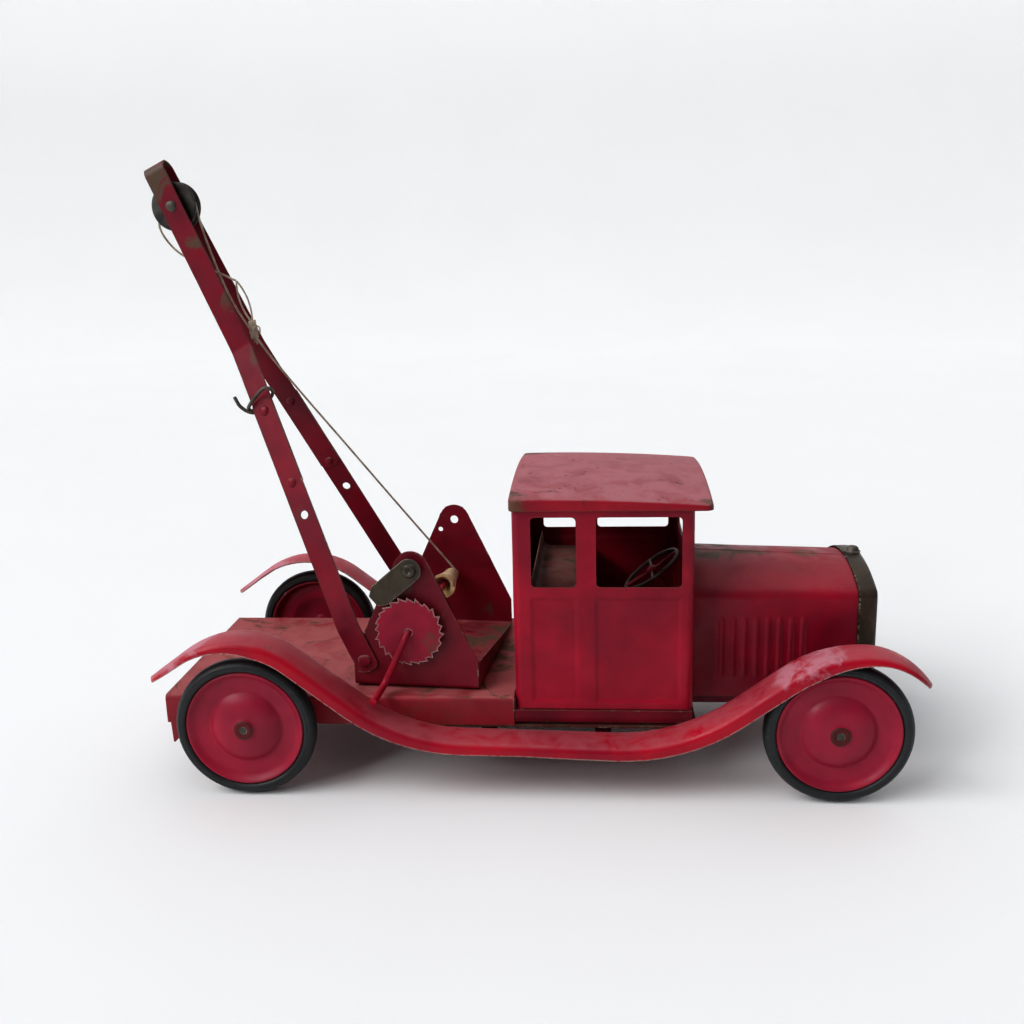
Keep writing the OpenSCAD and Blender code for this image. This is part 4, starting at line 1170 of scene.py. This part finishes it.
def build_turret_rivets():
    low, high = local_box("boom_pivots", TURRET)
    at = (low + high) / 2
    bm = bmesh.new()
    for side in (-1, 1):
        outer = high.y - 1.7
        inner = local_box("turret_frame", TURRET)[1].y - SHEET
        lathe(bm, [(0, -4), (2, -4), (2, 0), (0, 0)], facing((at.x, side * outer, at.z), (0, side, 0)), 20)
        rivet_head(bm, (at.x, side * outer, at.z), (0, side, 0), 4.5, 1.65)
        rivet_head(bm, (at.x, side * (inner - 0.02), at.z), (0, -side, 0), 3.9, 1.3)
    piece("boom_pivot_rivets", bm, TURRET, "turret", BOOM_RED, ["boom_pivots"], sharp=60)

    low, high = local_box("pawl_rivet", TURRET)
    at = (low + high) / 2
    bm = bmesh.new()
    face = low.y + 1.8
    # the head is a spun-over tube end
    spun = [(0, 0.5), (0.9, 0.55), (1.5, 1.15), (2.1, 1.6), (2.9, 1.75), (3.8, 1.35), (4.5, 0.5), (4.6, 0),
            (0, 0)]
    lathe(bm, spun, facing((at.x, face, at.z), (0, -1, 0)), 36, wobble=0.1)
    cheek = local_box("turret_frame", TURRET)[0].y - face
    lathe(bm, [(0, 0), (2.9, 0), (2.9, 2), (5, 2), (5, cheek - 0.03), (2.9, cheek - 0.03), (2.9, cheek + 1.9),
               (0, cheek + 1.9)], facing((at.x, face, at.z), (0, 1, 0)), 32)
    rivet_head(bm, (at.x, high.y - 1.6, at.z), (0, 1, 0), 4.9, 1.5)
    piece("pawl_pin", bm, TURRET, "turret", DARK_STEEL, ["pawl_rivet"], sharp=60)


def build_pawl():
    low, high = local_box("pawl", TURRET)
    hinge_at = TURRET.inverted() @ Vector(joints["pawl_lift"]["pos_m"])
    turn = Matrix.Translation((hinge_at.x, 0, hinge_at.z)) @ Matrix.Rotation(radians(139.5), 4, "Y")
    reach, half, plane = 31.8, 7.65, (low.y + high.y) / 2
    bm = bmesh.new()
    lip = 3.4

    def place(x, y):
        """Flat plate whose tip is turned outwards a little."""
        d = max(0, x - (reach - lip))
        return turn @ Vector((x - 0.07 * d, plane - 0.04 * d * d, y))

    back = [Vector((half * cos(radians(a)), half * sin(radians(a)))) for a in range(90, 271, 12)]
    outline = back + [Vector(p) for p in ((0, -half), (reach - 5.5, -half), (reach, -4), (reach, 4),
                                          (reach - 5.5, half), (0, half))][1:5]
    flat_sheet(bm, outline, [circle(0, 0, 3.1, 20)], spread(-half, reach, 2.2), spread(-half, half, 2.2), place)
    piece("pawl_plate", bm, TURRET, "pawl", OLIVE_STEEL, ["pawl"], thickness=1.45, bevel=0.35)


# ---- winch ----

CRANK_ARM = 37.3                 # winch shaft to the bend at the handle
CRANK_V = -72.4                  # plane of the crank arm
TEETH = 24


def build_winch():
    winch_at = TURRET.inverted() @ Vector(joints["winch_turn"]["pos_m"])
    low, high = local_box("winch_crank", TURRET)
    at = Vector((winch_at.x, 0, winch_at.z))
    # the arm's direction comes from the handle's lower end
    down = Vector((low.x + 2.1 - at.x, 0, low.z + 2.1 - at.z))
    tip = at + down + Vector((0, low.y + 0.4, 0))
    elbow = at + down.normalized() * CRANK_ARM + Vector((0, CRANK_V, 0))
    bm = bmesh.new()
    shaft = [at + Vector((0, v, 0)) for v in (high.y, 40, CRANK_V)]
    wire = fillet(shaft + [elbow, tip], 5.5, 8)
    wire = even(wire, 1.2) + [Vector(wire[-1])]
    sweep(bm, wire, lambda t: 2.0 + 0.45 * max(0, t - 0.8) / 0.2, 20)
    piece("crank_rod", bm, TURRET, "winch", RED, ["winch_crank"], sharp=60)

    # ratchet: punched saw teeth on a dished disc with a pressed hub
    low, high = local_box("ratchet_wheel", TURRET)
    r = (high.z - low.z) / 2
    plane = low.y + 0.72
    rng = random.Random(3)
    pitch = 2 * pi / TEETH
    outline = []
    for k in range(TEETH):
        a = 2 * pi * k / TEETH
        top, root = r - rng.uniform(0.05, 1.5), r - 3.2 + rng.uniform(-0.6, 0.5)
        lean = rng.uniform(-0.06, 0.06)
        outline += [Vector((top * cos(a + lean), top * sin(a + lean))),
                    Vector((root * cos(a + pitch * 0.13), root * sin(a + pitch * 0.13))),
                    Vector(((root + 0.8) * cos(a + pitch * 0.5), (root + 0.8) * sin(a + pitch * 0.5)))]

    def dish(x, y):
        d = sqrt(x * x + y * y)
        bend = 0.9 * math.exp(-((d - 15.5) / 1.6) ** 2) * 0.35 + 1.1 * max(0, 1 - d / 8.5) ** 1.5
        edge = 0.12 * noise.noise(Vector((x, y, 0)) / 6) * max(0, (d - 14) / 8)
        return Vector((at.x + x, plane - bend - edge, at.z + y))

    bm = bmesh.new()
    flat_sheet(bm, outline, [circle(0, 0, 2.15, 20)], spread(-r, r, 1.7), spread(-r, r, 1.7), dish, 0.4)
    lathe(bm, [(2.2, 0), (5.8, 0), (5.9, 0.4), (5.9, 1.9), (2.2, 1.9), (2.2, 0)],
          facing((at.x, plane + 0.8, at.z), (0, 1, 0)), 32)
    piece("ratchet_disc", bm, TURRET, "winch", RATCHET_RED, ["ratchet_wheel"], thickness=1.25,
          bevel=0.18)

    low, high = local_box("winch_collar", TURRET)
    bm = bmesh.new()
    lathe(bm, [(2.26, 0), (4.3, 0), (4.6, 0.3), (4.6, 2.0), (4.2, 2.4), (2.26, 2.4), (2.26, 0)],
          facing((at.x, low.y, at.z), (0, 1, 0)), 32, wobble=0.04)
    bmesh.ops.remove_doubles(bm, verts=bm.verts, dist=0.001)
    piece("winch_stop", bm, TURRET, "winch", DARK_STEEL, ["winch_collar"], sharp=60)

    # cone of wound cord, open at its large end
    low, high = local_box("cord_coil", TURRET)
    length = high.y - low.y
    big, small = (high.z - low.z) / 2, 5.0
    strand = 0.78
    place = facing((at.x, high.y, at.z), (0, -1, 0))

    def cone(t):
        swell = 0.35 * sin(9 * t) + 0.25 * sin(23 * t)
        return small + (big - small) * t ** 1.35 - strand + swell * 0.6 * (1 - t)

    bm = bmesh.new()
    for layer, phase, sink in ((0, 0, 0), (1, 2.4, 0.7)):
        turns = 19 - 3 * layer
        points = []
        for i in range(turns * 20 + 1):
            t = i / (turns * 20)
            a = 2 * pi * turns * t * (1 if layer == 0 else -1) + phase
            rr = cone(t) - sink + 0.12 * sin(5 * a + 3 * t)
            z = strand + (length - 2 * strand) * t + 0.3 * sin(a + 1)
            points.append(place @ Vector((rr * cos(a), rr * sin(a), z)))
        sweep(bm, points, strand, 7)
    # the last turns roll over the rim and a little way inside
    points = []
    for i in range(81):
        a, turned = 2 * pi * 4 * i / 80, i / 20
        rr = big - 1.6 - 0.55 * turned
        points.append(place @ Vector((rr * cos(a), rr * sin(a), length - 0.9 - 0.9 * turned)))
    sweep(bm, points, strand, 7)
    body = [(cone(t) - 0.6, strand + (length - 2 * strand) * t) for t in (0.15, 0.3, 0.5, 0.7, 0.85, 0.97)]
    mouth = [(big - 2.6, length - 1.2), (big - 3.6, length - 3), (3.4, length - 9), (2.4, length - 9)]
    lathe(bm, [(2.4, 0.8), (cone(0) - 0.3, 0.8)] + body + mouth + [(2.4, 0.8)], place, 40)
    piece("cord_winding", bm, TURRET, "winch", COIL, ["cord_coil"], sharp=70)


# ---- boom ----

LEG_TILT = 15                    # lean of the legs towards each other, in degrees
LEG_PARTS = [(31.5, 0), (10, LEG_TILT), (158, 0)]
RIVETS_DOWN = (8.2, 59)          # rivets below a leg's upper end
LEG_HOLE_S = 100                 # spare hole above the boom pivot
OVERLAP = 64                     # length over which the strap lies inside a leg
TILT = radians(LEG_TILT)


def strap_sheet(bm, line, length, half, holes, side=1):
    """A strap bent along a line; holes are (distance along, radius)."""
    outline = slot_box(-half, 0, half, length, 4.2)
    xs = spread(-half, half, 2.5)
    ys = [s for s in line.stops(6, 6) if 0.3 < s < length - 0.3]

    def place(x, s):
        p, _ = line.at(s)
        return Vector((x, side * (p.x + ripple((x, p.x, s), 45, 0.25)), p.y))

    flat_sheet(bm, outline, [circle(0, s, r, 18) for s, r in holes], xs, ys, place)


def build_boom():
    low, high = local_box("boom_strap", BOOM)
    half = high.x - 0.05
    leg_low, leg_high = local_box("boom_leg_left", BOOM)
    foot = Vector((leg_high.y - SHEET / 2, leg_low.z))
    leg = Line(foot, 90, LEG_PARTS)
    hole_at = leg.length - (leg.end.y - LEG_HOLE_S) / cos(TILT)
    rivet_at = [leg.length - d for d in RIVETS_DOWN]
    for name, side in (("boom_leg_right", -1), ("boom_leg_left", 1)):
        bm = bmesh.new()
        # the pivot is where the boom's space begins
        holes = [(-foot.y, 2.1), (hole_at, 2.8)] + [(s, 1.8) for s in rivet_at]
        strap_sheet(bm, leg, leg.length, half, holes, side)
        piece(name + "_strap", bm, BOOM, "boom", BOOM_RED, [name], thickness=SHEET - 0.1, bevel=0.3)

    # one strap runs up the left side, over the tip and down the right side
    across, along = sin(TILT), cos(TILT)
    start = leg.end + Vector((OVERLAP * across - SHEET * along, -OVERLAP * along - SHEET * across))
    knee, knee_r, bend, upper = 100, 15, -12.7, 121
    up = [(knee, 0), (knee_r, bend), (upper, 0)]
    rise = Line(start, 90 + LEG_TILT, up)
    lean = radians(LEG_TILT + bend)
    loop_r = rise.end.x / cos(lean)
    strap = Line(start, 90 + LEG_TILT, up + [(loop_r, 180 - 2 * (LEG_TILT + bend))] + up[::-1])
    inner = [OVERLAP - d for d in RIVETS_DOWN]
    pin_z = (BOOM.inverted() @ pulley_at).z
    pin_s = rise.length - (rise.end.y - pin_z) / cos(lean)
    holes = []
    for s, r in [(inner[0], 1.8), (inner[1], 1.8), (pin_s, 2.05)]:
        holes += [(s, r), (strap.length - s, r)]
    bm = bmesh.new()
    strap_sheet(bm, strap, strap.length, half, holes)
    piece("boom_top_strap", bm, BOOM, "boom", BOOM_RED, ["boom_strap"], thickness=SHEET - 0.1,
          bevel=0.3)

    bm = bmesh.new()
    for side in (-1, 1):
        for d in RIVETS_DOWN:
            p, _ = leg.at(leg.length - d)
            out = Vector((0, side * along, across))
            at = Vector((0, side * p.x, p.y))
            rivet_head(bm, at + out * (SHEET / 2 - 0.05), out, 3.3, 1.45)
            rivet_head(bm, at - out * (SHEET * 1.5 - 0.05), -out, 2.9, 1.2)
    piece("boom_rivet_heads", bm, BOOM, "boom", BOOM_RED, ["boom_rivets"], sharp=60)
    return pin_z


def build_pulley(pin_z):
    low, high = local_box("pulley_pin", BOOM)
    bm = bmesh.new()
    sweep(bm, [(0, y, pin_z) for y in spread(low.y + 1.4, high.y - 1.4, 2)], 1.92, 20)
    for side in (-1, 1):
        rivet_head(bm, (0, side * (high.y - 1.5), pin_z), (0, side, 0), 3.6, 1.45)
    piece("pulley_pin_rivet", bm, BOOM, "boom", DARK_STEEL, ["pulley_pin"], sharp=60)

    low, high = local_box("pulley", BOOM)
    r = (high.z - low.z) / 2
    bm = bmesh.new()
    # two pressed cheeks with rolled rims and a deep round groove
    half = [(2.1, 5.3), (4.3, 5.3), (4.6, 5.0), (4.6, 3.5), (6, 3.1), (9, 3.4), (12.2, 3.9), (r - 1, 4.0),
            (r - 0.25, 3.85), (r, 3.4), (r - 0.3, 3.0), (r - 1.2, 2.5), (13.1, 1.7), (12.5, 0.9), (12.35, 0)]
    lathe(bm, half + [(a, -b) for a, b in reversed(half[:-1])] + [half[0]], facing((0, 0, pin_z), (0, 1, 0)), 72,
          wobble=0.04)
    bmesh.ops.remove_doubles(bm, verts=bm.verts, dist=0.001)
    piece("pulley_wheel", bm, BOOM, "pulley", PULLEY_STEEL, ["pulley"], sharp=60)


def twisted(bm, points, r, pitch=4.5, strands=3, spread_out=0.5):
    """Cord of strands twisted round a line."""
    points = even(points, 0.9)
    tangent = [(b - a).normalized() for a, b in zip(points[:1] + points, points[1:] + points[-1:])]
    tangent[0] = tangent[1]
    side = tangent[0].orthogonal().normalized()
    frames = []
    for t in tangent:
        side = (side - side.dot(t) * t).normalized()
        frames.append((side.copy(), t.cross(side)))
    for k in range(strands):
        path = []
        for i, (p, (a, b)) in enumerate(zip(points, frames)):
            turn = 2 * pi * (k / strands + i * 0.9 / pitch)
            path.append(p + r * spread_out * (cos(turn) * a + sin(turn) * b))
        sweep(bm, path, r * 0.55, 6)


# how far the slack cord hangs off the straight line, by share of the way from the coil to the pulley
SLACK = [(0, 0), (0.2, 4.5), (0.4, 9.5), (0.55, 14), (0.67, 17), (0.79, 16.5), (0.92, 8), (1, 0)]


def build_cord():
    """Slack cord from the coil over the pulley, and its loose end with a whipped loop."""
    r = 0.8
    wrap = 12.4 + r + 0.1
    pulley = TURRET.inverted() @ pulley_at
    winch_at = TURRET.inverted() @ Vector(joints["winch_turn"]["pos_m"])
    coil = local_box("cord_coil", TURRET)
    leave_v = 50.0
    share = (leave_v - coil[0].y) / (coil[1].y - coil[0].y)
    drum = (coil[1].z - coil[0].z) / 2 * (1 - share) + 5 * share + r
    run = Vector((pulley.x - winch_at.x, pulley.z - winch_at.z))
    angle = math.atan2(run.y, run.x) - math.acos((drum - wrap) / run.length)
    foot = Vector((winch_at.x + drum * cos(angle), leave_v, winch_at.z + drum * sin(angle)))
    head_angle = angle - radians(14)
    head = Vector((pulley.x + wrap * cos(head_angle), 0, pulley.z + wrap * sin(head_angle)))
    line = (head - foot).normalized()
    down = Vector((line.z, 0, -line.x)).normalized() * -1
    bm = bmesh.new()
    hang = [Vector((foot.x + (head.x - foot.x) * t, leave_v * (1 - t) ** 1.7, foot.z + (head.z - foot.z) * t))
            + down * d for t, d in SLACK]
    twisted(bm, flowing(hang, 8), r)
    run_piece = piece("cord_run", bm, TURRET, None, CORD, ["cord"], sharp=80)
    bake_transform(run_piece)

    # over the pulley, down behind it, between the straps and out at their front edge
    bm = bmesh.new()
    over = []
    for i in range(25):
        a = head_angle + (radians(200) - head_angle) * i / 24
        over.append(pulley + wrap * Vector((cos(a), 0, sin(a))))
    neck = pulley + Vector((37.5, -0.5, -48.5))
    knot = pulley + Vector((46.8, -2, -75.5))
    tail = [over[-1]] + [pulley + Vector(p)
                         for p in ((-12.6, 0, -15), (-3, 0, -28), (14, 0, -38), (28, -0.2, -44))]
    twisted(bm, over[:-1] + flowing(tail + [neck], 10), r)
    # the end is doubled into a narrow eye whose two strands are whipped together
    to = (knot - neck).normalized()
    out = Vector((to.z, 0, -to.x)) * -1
    side = Vector((0, 1, 0))
    length = (knot - neck).length
    for sign in (-1, 1):
        strand = [neck + to * (length * t) + (out * 2.7 + side * 0.5) * sign * sin(pi * t) ** 0.8
                  for t in (i / 12 for i in range(13))]
        twisted(bm, strand, r * 0.85)
    whip = []
    down = Vector((0.1, 0, -1)).normalized()
    across = Vector((1, 0, 0.1)).normalized()
    turns, step = 11, 1.05
    for i in range(turns * 14 + 1):
        a = 2 * pi * i / 14
        swell = 1.75 + 0.5 * sin(pi * i / (turns * 14)) + 0.15 * sin(2.3 * a)
        whip.append(knot + down * (step * i / 14 - 1) + swell * (cos(a) * across + sin(a) * side))
    sweep(bm, whip, 0.66, 7)
    sweep(bm, [knot + down * (step * k - 0.8) for k in range(turns)], 1.6, 10)
    frayed = random.Random(5)
    for _ in range(5):
        end = (knot + down * frayed.uniform(12, 15) + across * frayed.uniform(-2, 2)
               + side * frayed.uniform(-1, 1))
        middle = (knot + down * 10 + end) / 2 + across * frayed.uniform(-0.6, 0.6)
        sweep(bm, flowing([knot + down * 9, middle, end], 4), 0.28, 5)
    loose = [knot + down * d + across * w for d, w in ((2, 2), (4, 4.5), (8, 4))]
    sweep(bm, flowing(loose, 6), 0.5, 6)
    piece("cord_tail", bm, TURRET, "boom", CORD, sharp=80)


# bent round the right strap: open end, down across the back, over the front, round to the lower back
HOOK_WIRE = [(-15, -2, 8), (-14.2, -2.5, 1), (-10.4, -2, -5), (-6.5, 1, -7), (0, 3, -5.4), (7, 3, -1.4),
             (9.9, 0.4, 0.6), (9.4, -2.7, 3.3), (6, -3.9, 4.5), (-2, -3.9, 1.5), (-8, -3.6, -1.5),
             (-10.2, -1, -3.5), (-9.5, 1.7, -5.2), (-7.6, 3, -6.4)]
HOOK_W = -21.2                   # where the hook's strap is, left of the boom's middle


def build_hook():
    """Bent wire hook round the right strap."""
    low, high = local_box("hook", BOOM)
    strap = Vector((0, HOOK_W, (low.z + high.z) / 2))
    bm = bmesh.new()
    sweep(bm, even(flowing([strap + Vector(p) for p in HOOK_WIRE], 8), 0.8), 1.2, 14)
    piece("wire_hook", bm, BOOM, "boom", DARK_STEEL, ["hook"], sharp=70)


def dress_cad():
    """CAD nodes that stay as they are get a material and rounded edges."""
    red, steel_slot = "dark_red_enamel", "dark_steel"
    # frame, bearers and guard ties take the darker red of painted shade
    looks = {"frame_channel": (SHADED_UNDER_RED, red), "bed_bearers": (SHADED_UNDER_RED, red), "guard_ties": (SHADED_UNDER_RED, red),
             # the aprons' near-black brown is painted shade
             "aprons": (APRON_SHADE_BROWN, red), "front_axle": (DARK_STEEL, steel_slot),
             "rear_axle": (DARK_STEEL, steel_slot), "axle_spacers": (DARK_STEEL, steel_slot)}
    for node, (material, slot) in looks.items():
        obj = frame["nodes"][node]
        obj.data.materials.clear()
        obj.data.materials.append(material)
        edge = obj.modifiers.new("edges", "BEVEL")
        edge.width = 0.25 * MM
        edge.segments = 2
        edge.limit_method = "ANGLE"
        edge.angle_limit = radians(40)


build_bed()
build_guards()
build_cab()
build_roof()
build_seat()
build_steering()
build_bonnet()
build_radiator()
build_wheels()
build_turret()
build_turret_rivets()
build_pawl()
build_winch()
pulley_z = build_boom()
build_pulley(pulley_z)
build_cord()
build_hook()
dress_cad()


# ---- stage, light and camera ----

def build_stage():
    """One pale sheet that runs from under the lorry up behind it."""
    bm = bmesh.new()
    line = Line((-2500, -0.3), 0, [(5200, 0), (900, 90), (3500, 0)])
    rows = []
    for s in line.stops(400, 6):
        p, _ = line.at(s)
        rows.append([Vector((x, p.x, p.y)) for x in spread(-6000, 6000, 500)])
    grid(bm, rows)
    look = Look("pale_paper")
    paper = look.noise(3, 3)
    white = look.mix(look.step(paper, 0.3, 0.7), (0.85, 0.85, 0.855), (0.86, 0.86, 0.865))
    look.set(Base_Color=white, Roughness=0.85)
    look.bump(look.noise(400, 3), 0.05)
    # the wall is lit from behind a little, as paper in a studio is
    height = look.node("ShaderNodeSeparateXYZ", {0: look.at}).outputs[2]
    look.set(Emission_Color=(0.97, 1.0, 0.99), Emission_Strength=look.step(height, -0.1, 1.6, 0.25))
    mesh = bpy.data.meshes.new("backdrop")
    bm.transform(Matrix.Scale(MM, 4))
    bm.to_mesh(mesh)
    bm.free()
    mesh.materials.append(look.material)
    mesh.shade_smooth()
    obj = bpy.data.objects.new("backdrop", mesh)
    bpy.context.scene.collection.objects.link(obj)


def area_light(name, at, toward, size, power, colour=(1, 1, 1)):
    data = bpy.data.lights.new(name, "AREA")
    data.shape = "RECTANGLE"
    data.size, data.size_y = size
    data.energy = power
    data.color = colour
    obj = bpy.data.objects.new(name, data)
    bpy.context.scene.collection.objects.link(obj)
    obj.location = at
    obj.rotation_mode = "QUATERNION"
    obj.rotation_quaternion = (Vector(toward) - Vector(at)).to_track_quat("-Z", "Y")


DIM_SIDE = 0.08
BRIGHT_SIDE = 0.74


def build_light():
    """A white room that is bright above and behind the lorry and dim on the camera's side, and soft lamps."""
    world = bpy.data.worlds.new("studio")
    bpy.context.scene.world = world
    world.use_nodes = True
    tree = world.node_tree
    background = tree.nodes["Background"]
    direction = tree.nodes.new("ShaderNodeTexCoord").outputs["Generated"]
    lean = tree.nodes.new("ShaderNodeVectorMath")
    lean.operation = "DOT_PRODUCT"
    lean.inputs[1].default_value = (-0.2, 0.42, 0.885)
    tree.links.new(direction, lean.inputs[0])
    share = tree.nodes.new("ShaderNodeMapRange")
    for name, value in (("From Min", -0.15), ("From Max", 1.0), ("To Min", DIM_SIDE), ("To Max", BRIGHT_SIDE)):
        share.inputs[name].default_value = value
    tree.links.new(lean.outputs["Value"], share.inputs["Value"])
    background.inputs[0].default_value = (0.95, 0.975, 1.0, 1)
    tree.links.new(share.outputs[0], background.inputs[1])
    sun = bpy.data.lights.new("window", "SUN")
    sun.energy = 1.7
    sun.angle = radians(42)
    obj = bpy.data.objects.new("window", sun)
    bpy.context.scene.collection.objects.link(obj)
    obj.rotation_mode = "QUATERNION"
    obj.rotation_quaternion = Vector((0.75, 0.42, -0.8)).to_track_quat("-Z", "Y")
    area_light("lamp", (-1.7, -2.4, 1.4), (0, 0, 0.1), (0.4, 0.4), 9)


# where the photograph was taken from, in metres and degrees
EYE = (0.0522, -0.7134, 0.33465)
YAW, PITCH, ROLL = 4.958, -13.858, -1.54
LENS = 38.67


def build_camera():
    data = bpy.data.cameras.new("photo_view")
    data.lens = LENS
    data.clip_end = 50
    obj = bpy.data.objects.new("photo_view", data)
    bpy.context.scene.collection.objects.link(obj)
    yaw, pitch, roll = radians(YAW), radians(PITCH), radians(ROLL)
    turn = Matrix.Rotation(yaw, 4, "Z") @ Matrix.Rotation(pi / 2 + pitch, 4, "X") @ Matrix.Rotation(roll, 4, "Z")
    obj.matrix_world = Matrix.Translation(EYE) @ turn
    bpy.context.scene.camera = obj


build_stage()
build_light()
build_camera()
bpy.context.scene.view_settings.view_transform = "Standard"
bpy.context.scene.view_settings.look = "Medium High Contrast"
